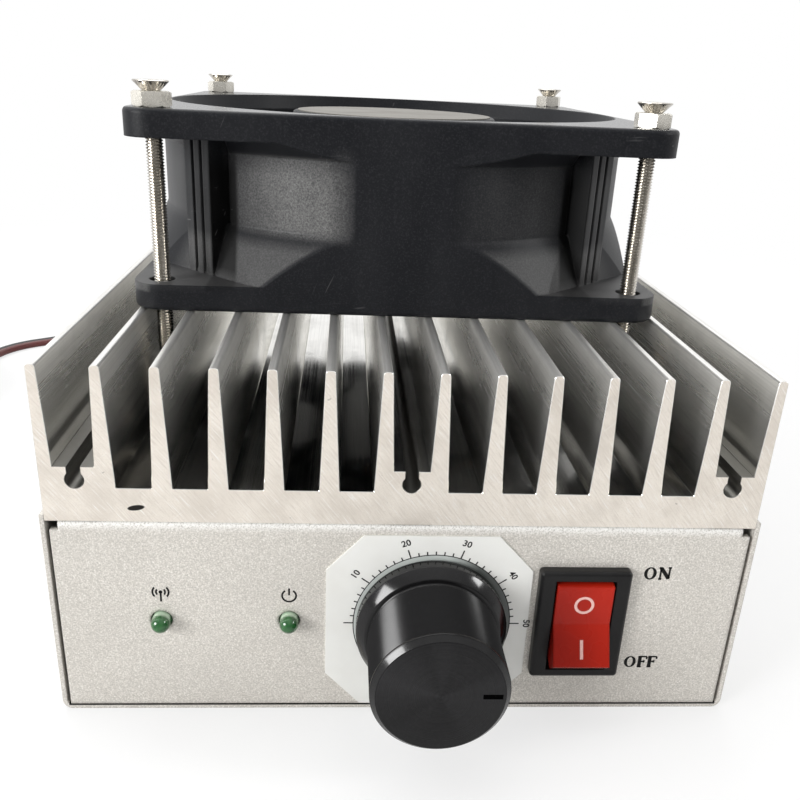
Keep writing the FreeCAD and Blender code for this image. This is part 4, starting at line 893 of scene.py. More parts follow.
class Look(Enum):
    """The finishes by what they cover."""

    # The case paint has a painted highlight under its bend; the shell paint has painted shade on
    # the inner faces of its walls.
    CASE = SpeckledPaint("case_paint", edge=0.9, bend=35.0)
    SHELL = SpeckledPaint("shell_paint", edge=0.25, shaded_inner_wall=54.6)
    FINS = DrawnMetal("extruded_fins")
    FIN_ENDS = SawnMetal("sawn_ends")
    FAN = FanPlastic("fan_plastic")
    HUB_LABEL = Moulded("hub_label", (0.22, 0.208, 0.185), (0.15, 0.142, 0.126),
                        0.5, 0.5, 0.01, 0.25, 0.2)
    STAINLESS = Plated("stainless_screw", (0.66, 0.63, 0.58), (0.34, 0.30, 0.26), 0.24)
    THREADS = Plated("threaded_steel", (0.60, 0.57, 0.52), (0.47, 0.44, 0.395), 0.2, 0.0)
    NICKEL = Plated("nickel_plate", (0.70, 0.68, 0.63), (0.46, 0.42, 0.36), 0.2)
    NUT = Plated("nut_nickel", (0.80, 0.77, 0.70), (0.52, 0.49, 0.43), 0.26, 0.12, 0.6)
    ZINC = Plated("zinc_screw", (0.60, 0.61, 0.62), (0.36, 0.36, 0.37), 0.3)
    BRASS = Plated("gilt_contact", (0.83, 0.60, 0.24), (0.48, 0.31, 0.11), 0.22)
    TINNED = Plated("tinned_lug", (0.66, 0.64, 0.60), (0.44, 0.36, 0.28), 0.34)
    SHAFT_STEEL = Plated("ground_steel", (0.58, 0.58, 0.58), (0.36, 0.35, 0.34), 0.18)
    MAGNET = Moulded("bonded_magnet", (0.07, 0.065, 0.06), (0.13, 0.12, 0.11), 0.6, 0.3, 0.03)
    FERRITE = Moulded("ferrite", (0.05, 0.05, 0.052), (0.11, 0.11, 0.11), 0.55, 0.25, 0.03)
    KNOB = Anodised("knob_black")
    SWITCH_BLACK = Moulded("switch_black_gloss", (0.005, 0.0048, 0.005), (0.02, 0.0195, 0.02),
                           0.3, 0.3, 0.01, 0.25, 0.3)
    ROCKER = RockerGloss("rocker_red_gloss")
    MARKS = Moulded("rocker_mark_paint", (0.84, 0.52, 0.48), (0.74, 0.40, 0.36), 0.45, 0.2, 0.005)
    LENS = GreenLens("green_lens")
    DIAL = PrintedSheet("dial_label")
    INK = Ink("print_ink", (0.004, 0.004, 0.004), (0.02, 0.019, 0.018), 0.2)
    POINTER = Ink("pointer_fill", (0.001, 0.001, 0.001), (0.003, 0.003, 0.003), 0.0)
    RUBBER = Moulded("soft_rubber", (0.018, 0.017, 0.017), (0.055, 0.052, 0.05), 0.68, 0.5, 0.03)
    PTFE = Moulded("white_insulator_look", (0.80, 0.79, 0.76), (0.66, 0.64, 0.60), 0.4, 0.4, 0.01)
    RELAY = Moulded("relay_case", (0.035, 0.11, 0.28), (0.08, 0.18, 0.36), 0.36, 0.4, 0.01)
    CAN = Moulded("capacitor_sleeve_look", (0.02, 0.03, 0.09), (0.06, 0.07, 0.15), 0.28, 0.4, 0.01)
    PACKAGE = Moulded("transistor_epoxy", (0.022, 0.022, 0.024), (0.06, 0.06, 0.062),
                      0.5, 0.25, 0.02)
    PAD = Moulded("thermal_pad", (0.38, 0.36, 0.40), (0.50, 0.48, 0.50), 0.75, 0.3, 0.02)
    BOARD = Laminate("board_mask")
    COPPER = Wound("enamel_copper")
    HEAVY_WIRE = Wound("sleeved_wire", (0.36, 0.03, 0.02), (0.12, 0.01, 0.008), 2.4)
    LAMINATIONS = Wound("steel_laminations", (0.36, 0.36, 0.37), (0.12, 0.12, 0.12), 0.5)
    LEAD = LeadSkin("lead_skin")
    FLOOR = StudioWhite("studio_floor")


def dress(nodes: dict[str, bpy.types.Object], wear: dict[Look, str]) -> None:
    """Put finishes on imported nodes.

    Args:
        nodes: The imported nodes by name.
        wear: For each look the names of its nodes, with spaces between them.
    """
    for look, names in wear.items():
        for name in names.split():
            look.value.dress(nodes[name])
            log.info("%s: wears %s", name, look.value.name)


# ---------------------------------------------------------------- surfaces
FACING_FRONT = np.array([[1.0, 0.0, 0.0], [0.0, 0.0, -1.0], [0.0, 1.0, 0.0]])
ALONG_DEPTH = np.array([[1.0, 0.0, 0.0], [0.0, 0.0, 1.0], [0.0, 1.0, 0.0]])
HANGING = np.diag([1.0, -1.0, -1.0])


def grid_faces(rows: int, columns: int) -> np.ndarray:
    """Quads of a grid numbered row by row, the last point of each row joined to its first.

    Args:
        rows: Number of rows.
        columns: Points in each row.

    Returns:
        Corner numbers, four to a face.
    """
    row, column = np.meshgrid(np.arange(rows - 1), np.arange(columns), indexing="ij")
    after = (column + 1) % columns
    corners = [row * columns + column, row * columns + after, (row + 1) * columns + after,
               (row + 1) * columns + column]
    return np.stack(corners, axis=-1).reshape(-1, 4)


def arc(radius: float, start: float, end: float, count: int,
        centre: Sequence[float] = (0.0, 0.0)) -> np.ndarray:
    """Points on an arc: centre plus radius times cosine and sine of even steps in degrees."""
    angle = np.radians(np.linspace(start, end, count))
    return np.asarray(centre) + radius * np.column_stack([np.cos(angle), np.sin(angle)])


def ring(radius: float, count: int, hole: bool = False) -> np.ndarray:
    """Points of a full circle, clockwise if it is a hole."""
    return arc(radius, 0.0, 360.0 - 360.0 / count, count)[::-1 if hole else 1]


def revolve(profile: np.ndarray, segments: int) -> np.ndarray:
    """Surface of revolution about Z: each radius turned through every angle, at its own height.

    Args:
        profile: Radius and height of each profile point.
        segments: Points round the axis.

    Returns:
        Points, one row for each profile point.
    """
    angle = np.linspace(0.0, 2 * np.pi, segments, endpoint=False)
    radius, height = profile[:, :1], profile[:, 1:]
    level = np.broadcast_to(height, (len(profile), segments))
    return np.stack([radius * np.cos(angle), radius * np.sin(angle), level], axis=-1)


def helical(radius: np.ndarray, height: np.ndarray, pitch: float, depth: np.ndarray,
            segments: int) -> np.ndarray:
    """Threaded rod about Z: radius less depth times a clipped triangle wave of height less turns.

    Args:
        radius: Crest radius at each height.
        height: Heights, several to a pitch.
        pitch: Rise of one turn.
        depth: Depth of the thread at each height.
        segments: Points round the axis.

    Returns:
        Points, one row for each height.
    """
    angle = np.linspace(0.0, 2 * np.pi, segments, endpoint=False)
    phase = (height[:, None] / pitch - angle[None, :] / (2 * np.pi)) % 1.0
    wave = np.clip(np.abs(phase - 0.5) * 2.6 - 0.15, 0.0, 1.0)
    reach = radius[:, None] - depth[:, None] * wave
    level = np.broadcast_to(height[:, None], reach.shape)
    return np.stack([reach * np.cos(angle), reach * np.sin(angle), level], axis=-1)


def offset_loop(loop: np.ndarray, distance: float) -> np.ndarray:
    """A closed outline moved to its solid side, each point along the mean of its edges' normals.

    Args:
        loop: Points of an outline that runs anticlockwise, or clockwise for a hole.
        distance: How far it moves.

    Returns:
        The moved outline.
    """
    if not distance:
        return loop
    ahead = np.roll(loop, -1, axis=0) - loop
    ahead /= np.linalg.norm(ahead, axis=1, keepdims=True)
    normal = np.column_stack([-ahead[:, 1], ahead[:, 0]])
    mean = normal + np.roll(normal, 1, axis=0)
    mean /= np.maximum(np.sum(mean * np.roll(normal, 1, axis=0), axis=1, keepdims=True), 0.5)
    return loop + mean * distance


def flat_fill(loops: Sequence[np.ndarray], level: float) -> tuple[np.ndarray, list]:
    """Fill a level area between an outline and its holes.

    Args:
        loops: Outline and then holes, in two columns.
        level: Its height.

    Returns:
        Points in three columns, and triangles.
    """
    flat = np.concatenate(loops)
    triangles = tessellate_polygon([[Vector((x, y, 0.0)) for x, y in loop] for loop in loops])
    return np.column_stack([flat, np.full(len(flat), level)]), triangles


def linked(name: str, data: bpy.types.ID) -> bpy.types.Object:
    """Add an object to the scene.

    Args:
        name: Name of the object.
        data: Its mesh, curve, lamp or camera.

    Returns:
        The object.
    """
    made = bpy.data.objects.new(name, data)
    bpy.context.scene.collection.objects.link(made)
    return made


def evaluated(source: bpy.types.Object) -> bpy.types.Mesh:
    """A new mesh of what an object's modifiers or curve come to."""
    state = bpy.context.evaluated_depsgraph_get()
    return bpy.data.meshes.new_from_object(source.evaluated_get(state))


def read_curve(curve: bpy.types.Curve) -> tuple[np.ndarray, list[list[int]]]:
    """What a curve or a text comes to, its object removed again.

    Args:
        curve: Curve or text data.

    Returns:
        Points in three columns, and faces.
    """
    holder = linked(curve.name, curve)
    mesh = evaluated(holder)
    points = np.empty(len(mesh.vertices) * 3)
    mesh.vertices.foreach_get("co", points)
    faces = [list(face.vertices) for face in mesh.polygons]
    bpy.data.objects.remove(holder)
    bpy.data.meshes.remove(mesh)
    return points.reshape(-1, 3), faces


def shade(mesh: bpy.types.Mesh, sharp: float) -> None:
    """Shade a mesh smooth except at edges sharper than an angle in degrees."""
    mesh.polygons.foreach_set("use_smooth", np.ones(len(mesh.polygons), dtype=bool))
    mesh.set_sharp_from_angle(angle=math.radians(sharp))


def finished(mesh: bpy.types.Mesh, name: str, looks: Sequence[Look], slot: str, body: str = "root",
             sharp: float = 32.0, replaces: Sequence[str] = ()) -> bpy.types.Object:
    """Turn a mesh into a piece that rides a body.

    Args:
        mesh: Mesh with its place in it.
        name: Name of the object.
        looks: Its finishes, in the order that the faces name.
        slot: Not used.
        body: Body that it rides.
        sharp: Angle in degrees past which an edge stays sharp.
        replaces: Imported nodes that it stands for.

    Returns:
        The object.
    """
    for look in looks:
        mesh.materials.append(look.value.material())
    shade(mesh, sharp)
    piece = linked(name, mesh)
    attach(piece, body)
    if replaces:
        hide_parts(*replaces)
    counts = len(mesh.vertices), len(mesh.polygons)
    log.info("%s: %d points, %d faces, rides %s", name, *counts, body)
    return piece


class Shape:
    """Points and faces of one piece, in millimetres, gathered from surfaces."""

    def __init__(self) -> None:
        """Start empty."""
        self.points: list[np.ndarray] = []
        self.faces: list[list[int]] = []
        self.looks: list[int] = []
        self.count = 0

    def add(self, points: np.ndarray, faces: Sequence[Sequence[int]], look: int = 0) -> "Shape":
        """Add a surface.

        Args:
            points: Points in any grid layout.
            faces: Corner numbers of each face.
            look: Which of the piece's finishes it wears.

        Returns:
            This shape.
        """
        flat = np.asarray(points, dtype=float).reshape(-1, 3)
        if isinstance(faces, np.ndarray):
            self.faces.extend((faces + self.count).tolist())
        else:
            self.faces.extend([corner + self.count for corner in face] for face in faces)
        self.looks.extend([look] * len(faces))
        self.points.append(flat)
        self.count += len(flat)
        return self

    def add_grid(self, points: np.ndarray, look: int = 0) -> "Shape":
        """Add a grid of points as a skin, each row closed on itself."""
        return self.add(points, grid_faces(*points.shape[:2]), look)

    def add_prism(self, loops: Sequence[np.ndarray], low: float, high: float, end_look: int = 0,
                  inset: float = 0.0) -> "Shape":
        """Add a closed prism along Z of an outline with holes, its end edges broken by an inset.

        Args:
            loops: Outline and then holes, as points in X and Y.
            low: Lower level.
            high: Upper level.
            end_look: Finish of the ends.
            inset: Width of the broken edge.

        Returns:
            This shape.
        """
        levels = [low, low + inset, high - inset, high] if inset else [low, high]
        insets = [inset, 0.0, 0.0, inset] if inset else [0.0, 0.0]
        for loop in loops:
            rows = [np.column_stack([offset_loop(loop, step), np.full(len(loop), level)])
                    for step, level in zip(insets, levels)]
            self.add_grid(np.stack(rows))
        for level in (low, high):
            self.add(*flat_fill([offset_loop(loop, inset) for loop in loops], level), end_look)
        return self

    def placed(self, matrix: np.ndarray, offset: Sequence[float] = (0.0, 0.0, 0.0)) -> "Shape":
        """This shape with every point multiplied by a matrix and then shifted."""
        self.points = [points @ matrix.T + np.asarray(offset) for points in self.points]
        return self

    def repeated(self, offsets: Sequence[Sequence[float]]) -> "Shape":
        """A shape with a copy of this one at each offset.

        Args:
            offsets: How far each copy is shifted.

        Returns:
            The new shape.
        """
        whole = Shape()
        for offset in offsets:
            whole.add(np.concatenate(self.points) + np.asarray(offset), self.faces)
        whole.looks = self.looks * len(offsets)
        return whole

    def mesh(self, name: str) -> bpy.types.Mesh:
        """Make the mesh, close its seams and point its faces outwards.

        Args:
            name: Name of the mesh.

        Returns:
            The mesh, in metres.
        """
        mesh = bpy.data.meshes.new(name)
        mesh.from_pydata((np.concatenate(self.points) * MM).tolist(), [], self.faces)
        mesh.polygons.foreach_set("material_index", np.array(self.looks, dtype=np.int32))
        work = bmesh.new()
        work.from_mesh(mesh)
        bmesh.ops.remove_doubles(work, verts=work.verts, dist=0.002 * MM)
        bmesh.ops.dissolve_degenerate(work, edges=work.edges, dist=0.0005 * MM)
        bmesh.ops.recalc_face_normals(work, faces=work.faces)
        work.to_mesh(mesh)
        work.free()
        return mesh

    def piece(self, name: str, looks: Sequence[Look], slot: str, **rest: Any) -> bpy.types.Object:
        """The shape as a piece; the arguments are those of finished()."""
        return finished(self.mesh(name), name, looks, slot, **rest)


# ---------------------------------------------------------------- studio
@dataclass
class Studio:
    """Camera, floor, lamps and surroundings."""

    camera_place: Point = (-10.684, -191.969, 99.995)
    yaw: float = -4.164
    pitch: float = -22.698
    roll: float = -2.698
    lens: float = 39.003
    sensor: float = 36.0
    shift_y: float = 0.0375
    floor_half: float = 3000.0
    aim: Point = (0.0, 0.0, 0.04)
    fill: float = 0.50
    front: float = 0.28
    above: float = 0.8

    LAMPS = (
        ("overhead", (-0.1, 0.45, 1.15), 1.1, 8.8),
        ("left_side", (-0.90, -0.616, 0.351), 0.45, 10.7),
        ("left_upper", (-0.75, 0.1, 0.9), 0.6, 2.4),
        ("right_side", (0.92, -0.27, 0.56), 0.22, 2.6),
    )

    def build(self) -> None:
        """Make the camera, the floor, the lamps and the world."""
        self._camera()
        self._floor()
        self._lamps()
        self._world()
        bpy.context.scene.view_settings.view_transform = "Standard"

    def _camera(self) -> None:
        """Camera that looks down on the front, turned by yaw, pitch and roll."""
        data = bpy.data.cameras.new("camera")
        data.lens, data.sensor_width, data.shift_y = self.lens, self.sensor, self.shift_y
        data.clip_start, data.clip_end = 0.01, 20.0
        turn = Matrix.Identity(4)
        for angle, axis in ((self.yaw, "Z"), (self.pitch, "X"), (self.roll, "Y"), (90.0, "X")):
            turn = turn @ Matrix.Rotation(math.radians(angle), 4, axis)
        camera = linked("camera", data)
        camera.matrix_world = Matrix.Translation(Vector(self.camera_place) * MM) @ turn
        bpy.context.scene.camera = camera

    def _floor(self) -> None:
        """Broad pale floor just under the case."""
        half = self.floor_half * MM
        mesh = bpy.data.meshes.new("floor")
        corners = [(-half, -half, 0.0), (half, -half, 0.0), (half, half, 0.0), (-half, half, 0.0)]
        mesh.from_pydata(corners, [], [(0, 1, 2, 3)])
        mesh.materials.append(Look.FLOOR.value.material())
        linked("floor", mesh)

    def _lamps(self) -> None:
        """Square lamps aimed at the object: name, place and size in metres, and power in watts."""
        for name, place, size, power in self.LAMPS:
            data = bpy.data.lights.new(name, "AREA")
            data.shape, data.size, data.energy = "SQUARE", size, power
            lamp = linked(name, data)
            lamp.location = place
            heading = Vector(self.aim) - lamp.location
            lamp.rotation_euler = heading.to_track_quat("-Z", "Y").to_euler()

    def _world(self) -> None:
        """White for the camera, through glass and in reflections of what is behind; a soft fill."""
        world = bpy.data.worlds.new("world")
        bpy.context.scene.world = world
        graph = Graph(world)
        seen, glossy, through = graph.rays()
        _, back, up = graph.axes(graph.node("ShaderNodeTexCoord"))
        top = up.between(0.3, 0.9, self.front, self.above)
        wall = back.between(-0.5, 0.4, self.front, 1.0).over(top)
        level = (seen.over(through) + glossy * wall).under(1.0).over(self.fill - glossy)
        sky = graph.node("ShaderNodeBackground", None, {0: WHITE, 1: level})
        graph.node("ShaderNodeOutputWorld", None, {0: sky})


# ---------------------------------------------------------------- supply lead
@dataclass
class SupplyLead:
    """Flat twin supply lead: from its grommet to the floor, into a coil and to its connector."""

    width: float = 4.4
    core: float = 2.2
    lies: float = 1.1
    layer: float = 2.35
    coil_x: float = -151.78
    coil_y: float = 64.28
    outer: float = 26.275
    inner: float = 21.725
    entry: float = 20.1
    turns: float = 5.5583
    per_turn: int = 16
    swap: float = 0.22
    half_angle: float = 128.0
    length: float = 1074.0

    ROUTE = (
        (-38.0, 81.0, 17.35), (-38.0, 94.0, 17.35), (-38.0, 108.0, 9.5), (-38.0, 122.5, 1.1),
        (-38.0, 140.0, 1.1), (-51.0, 155.5, 1.1), (-72.0, 158.0, 1.1), (-94.5, 144.5, 1.1),
        (-113.0, 126.5, 1.1), (-130.8, 114.3, 1.1), (-134.3, 93.0, 1.1), (-127.1, 73.3, 1.1),
    )
    TAIL = ((-178.055, 64.28, 1.1), (-178.655, 77.28, 1.1), (-175.855, 89.28, 1.1))

    def coil_points(self) -> np.ndarray:
        """Turns of the coil: an angle that falls evenly; radius and height step once a turn.

        Returns:
            Points in millimetres.
        """
        turn = np.arange(1, int(self.turns * self.per_turn)) / self.per_turn
        swap = np.clip((turn[:, None] - np.arange(1, 6)[None, :]) / self.swap + 0.5, 0.0, 1.0)
        swap = swap * swap * (3.0 - 2.0 * swap)
        outwards = 1.0 - swap[:, 0] + swap[:, 3]
        layer = swap[:, 1] + swap[:, 2] - swap[:, 4]
        radius = self.inner + (self.outer - self.inner) * outwards
        step = 2 * math.pi / self.per_turn
        pull = 0.5 * (math.cos(step / 2) + 0.75 + 0.25 * math.cos(step))
        angle = np.radians(self.entry - 360.0 * turn)
        return np.column_stack([
            self.coil_x + radius / pull * np.cos(angle),
            self.coil_y + radius / pull * np.sin(angle),
            self.lies + self.layer * layer,
        ])

    def centreline(self) -> np.ndarray:
        """The lead's line, read from a NURBS spline through the route, coil and tail.

        Returns:
            Points in metres, in order.
        """
        points = np.concatenate([self.ROUTE, self.coil_points(), self.TAIL]) * MM
        curve = bpy.data.curves.new("lead_line", "CURVE")
        curve.dimensions = "3D"
        curve.resolution_u = 6
        spline = curve.splines.new("NURBS")
        spline.points.add(len(points) - 1)
        spline.points.foreach_set("co", np.column_stack([points, np.ones(len(points))]).ravel())
        spline.order_u = 3
        spline.use_endpoint_u = True
        return read_curve(curve)[0]

    def build(self) -> None:
        line = self.centreline()
        heading = np.gradient(line, axis=0)
        heading /= np.linalg.norm(heading, axis=1, keepdims=True)
        across = np.column_stack([heading[:, 1], -heading[:, 0], np.zeros(len(line))])
        across /= np.linalg.norm(across, axis=1, keepdims=True)
        upward = np.cross(across, heading)
        half = self.core / 2
        right = arc(half, -self.half_angle, self.half_angle, 11, (half, 0.0))
        section = np.concatenate([right, -right]) * MM
        rings = (line[:, None, :] + section[None, :, :1] * across[:, None, :]
                 + section[None, :, 1:] * upward[:, None, :])
        count = len(section)
        mesh = bpy.data.meshes.new("supply_lead")
        faces = grid_faces(len(line), count).tolist()
        faces += [list(range(count))[::-1], list(range((len(line) - 1) * count, len(line) * count))]
        mesh.from_pydata(rings.reshape(-1, 3).tolist(), [], faces)
        corner = np.empty(len(mesh.loops), dtype=np.int32)
        mesh.loops.foreach_get("vertex_index", corner)
        run = np.concatenate([[0.0], np.cumsum(np.linalg.norm(np.diff(line, axis=0), axis=1))])
        side = (section[:, 0] < 0.0).astype(float)
        uv = np.column_stack([run[corner // count], side[corner % count]])
        mesh.uv_layers.new(name="UVMap").data.foreach_set("uv", uv.ravel())
        lead = finished(mesh, "supply_lead", [Look.LEAD], "lead_insulation", sharp=60.0,
                        replaces=["dc_cord", "dc_cord_coil"])
        log.info("lead is %.3f m long", run[-1])


# ---------------------------------------------------------------- heatsink
@dataclass
class Heatsink:
    """Extruded heatsink: base, tapered fins with rounded tips, keyhole slots."""

    width: float = 109.8
    bottom: float = 35.1
    height: float = 24.7
    base: float = 5.6
    raised: float = 9.05
    fins: int = 14
    edge_extra: float = 0.5
    tip: float = 1.45
    root: float = 3.05
    tip_radius: float = 0.5
    floor_radius: float = 0.2
    keyhole: float = 1.4
    keyhole_level: float = 6.9
    neck: float = 2.0
    broken_edge: float = 0.07

    RAISED = (0, 6, 12)

    def fin_centre(self, index: int) -> float:
        """X of a fin's middle: evenly spaced, with the outermost two moved out a little.

        Args:
            index: Number of the fin from the left.

        Returns:
            Its X.
        """
        pitch = (self.width - self.tip - 2 * self.edge_extra) / (self.fins - 1)
        middle = (index - (self.fins - 1) / 2) * pitch
        return middle + self.edge_extra * ((index == self.fins - 1) - (index == 0))

    def half_fin(self, level: float) -> float:
        """Half of a fin's thickness at a height above the underside."""
        share = (level - self.base) / (self.height - self.base)
        return (self.root + (self.tip - self.root) * share) / 2

    def tip_points(self, index: int) -> np.ndarray:
        """Rounded tip of one fin: a quarter circle on each side.

        Args:
            index: Number of the fin from the left.

        Returns:
            Points from its right side over to its left.
        """
        middle, radius = self.fin_centre(index), self.tip_radius
        reach, level = self.tip / 2 - radius, self.height - radius
        return np.concatenate([arc(radius, 0.0, 90.0, 5, (middle + reach, level)),
                               arc(radius, 90.0, 180.0, 5, (middle - reach, level))])

    def floor_points(self, index: int) -> np.ndarray:
        """Floor of the channel right of a fin: level between two fillets, or raised with a keyhole.

        Args:
            index: Number of the fin from the left.

        Returns:
            Points from its right end to its left.
        """
        left_fin, right_fin = self.fin_centre(index), self.fin_centre(index + 1)
        if index not in self.RAISED:
            radius, half = self.floor_radius, self.half_fin(self.base)
            right = arc(radius, 0.0, -90.0, 4, (right_fin - half - radius, self.base + radius))
            left = arc(radius, 270.0, 180.0, 4, (left_fin + half + radius, self.base + radius))
            return np.concatenate([right, left])
        middle, half = (left_fin + right_fin) / 2, self.half_fin(self.raised)
        opening = math.degrees(math.asin(self.neck / 2 / self.keyhole))
        centre = (middle, self.keyhole_level)
        circle = arc(self.keyhole, 90.0 - opening, -270.0 + opening, 25, centre)
        return np.concatenate([
            [[right_fin - half, self.raised], [middle + self.neck / 2, self.raised]],
            circle,
            [[middle - self.neck / 2, self.raised], [left_fin + half, self.raised]],
        ])

    def outline(self) -> np.ndarray:
        """Section in X and Z, anticlockwise from the lower left corner.

        Returns:
            Points in millimetres.
        """
        half = self.width / 2
        parts = [np.array([[-half, 0.0], [half, 0.0]])]
        for index in range(self.fins - 1, -1, -1):
            parts.append(self.tip_points(index))
            if index:
                parts.append(self.floor_points(index - 1))
        return np.concatenate(parts) + np.array([0.0, self.bottom])

    def build(self) -> None:
        """Extrude the outline along Y, with sawn ends."""
        shape = Shape().add_prism([self.outline()], FRONT, REAR, 1, self.broken_edge)
        shape.placed(ALONG_DEPTH).piece("heatsink_fins", [Look.FINS, Look.FIN_ENDS],
                                        "extruded_aluminium", sharp=28.0, replaces=["heatsink"])


# ---------------------------------------------------------------- fan
@dataclass
class Fan:
    """Fan frame, rotor and its four long screws."""

    axis_x: float = -1.0
    axis_y: float = 0.5
    hole_spacing: float = 82.5
    screw_top: float = 96.45
    screw_length: float = 60.0
    head_radius: float = 2.9
    head_flat: float = 2.78
    head_height: float = 1.65
    head_sides: int = 48
    thread_radius: float = 1.45
    thread_depth: float = 0.27
    thread_pitch: float = 0.5
    thread_sides: int = 24
    thread_start: float = 0.6
    thread_end: float = 0.7
    recess_span: float = 2.6
    recess_width: float = 0.55
    recess_depth: float = 1.0
    recess_foot: float = 0.45

    WEAR = {
        Look.FAN: "fan_housing fan_rotor",
        Look.HUB_LABEL: "fan_hub_label",
        Look.NUT: "fan_nuts",
        Look.SHAFT_STEEL: "fan_shaft fan_bearings",
        Look.MAGNET: "fan_magnet",
        Look.LAMINATIONS: "fan_stator",
        Look.COPPER: "fan_coils",
        Look.BOARD: "fan_circuit_board",
    }

    def recess(self, scale: float) -> np.ndarray:
        """Outline of the cross recess, clockwise so that it is a hole.

        Args:
            scale: Share of its full span.

        Returns:
            Twelve points.
        """
        long, short = self.recess_span / 2 * scale, self.recess_width / 2
        quarter = np.array([[long, short], [short, short], [short, long]])
        headings = ((1, 0), (0, 1), (-1, 0), (0, -1))
        turns = [quarter @ np.array([[c, s], [-s, c]]) for c, s in headings]
        return np.concatenate(turns)[::-1]

    def head(self) -> Shape:
        """Countersunk head, its top at the origin: a flat with a tapering cross recess, and a cone.

        Returns:
            The shape.
        """
        hole, foot = self.recess(1.0), self.recess(self.recess_foot)
        walls = np.stack([np.column_stack([hole, np.zeros(len(hole))]),
                          np.column_stack([foot, np.full(len(foot), -self.recess_depth)])])
        cone = np.array([[self.head_flat, 0.0], [self.head_radius, -0.1], [self.head_radius, -0.22],
                         [self.thread_radius, -self.head_height]])
        rim = ring(self.head_flat, self.head_sides)
        shape = Shape().add(*flat_fill([rim, hole], 0.0)).add_grid(walls)
        shape.add(walls[1], [list(range(len(foot)))])
        return shape.add_grid(revolve(cone, self.head_sides))

    def screw(self) -> Shape:
        """Head and thread; the thread fades in under the head and tapers to a point at its end.

        Returns:
            The shape.
        """
        height = np.arange(-self.head_height, -self.screw_length, -self.thread_pitch / 5)
        start = np.clip((-self.head_height - height) / self.thread_start, 0.0, 1.0)
        taper = np.clip((height + self.screw_length) / self.thread_end, 0.35, 1.0)
        radius = self.thread_radius * np.where(taper < 1.0, 0.75 + 0.25 * taper, 1.0)
        depth = self.thread_depth * start * taper
        rod = helical(radius, height, self.thread_pitch, depth, self.thread_sides)
        join = revolve(np.array([[self.thread_radius, -self.head_height]]), self.thread_sides)
        point = revolve(np.array([[0.0, -self.screw_length]]), self.thread_sides)
        shape = self.head().add_grid(np.concatenate([join, rod]))
        return shape.add_grid(np.concatenate([rod[-1:], point]))

    def build(self, nodes: dict[str, bpy.types.Object]) -> None:
        """Make the screws and dress the fan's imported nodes.

        Args:
            nodes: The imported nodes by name.
        """
        half = self.hole_spacing / 2
        places = [(self.axis_x + sx * half, self.axis_y + sy * half, self.screw_top)
                  for sx in (-1, 1) for sy in (-1, 1)]
        self.screw().repeated(places).piece("fan_screw_threads", [Look.THREADS], "zinc_steel",
                                            sharp=24.0, replaces=["fan_screws"])
        dress(nodes, self.WEAR)


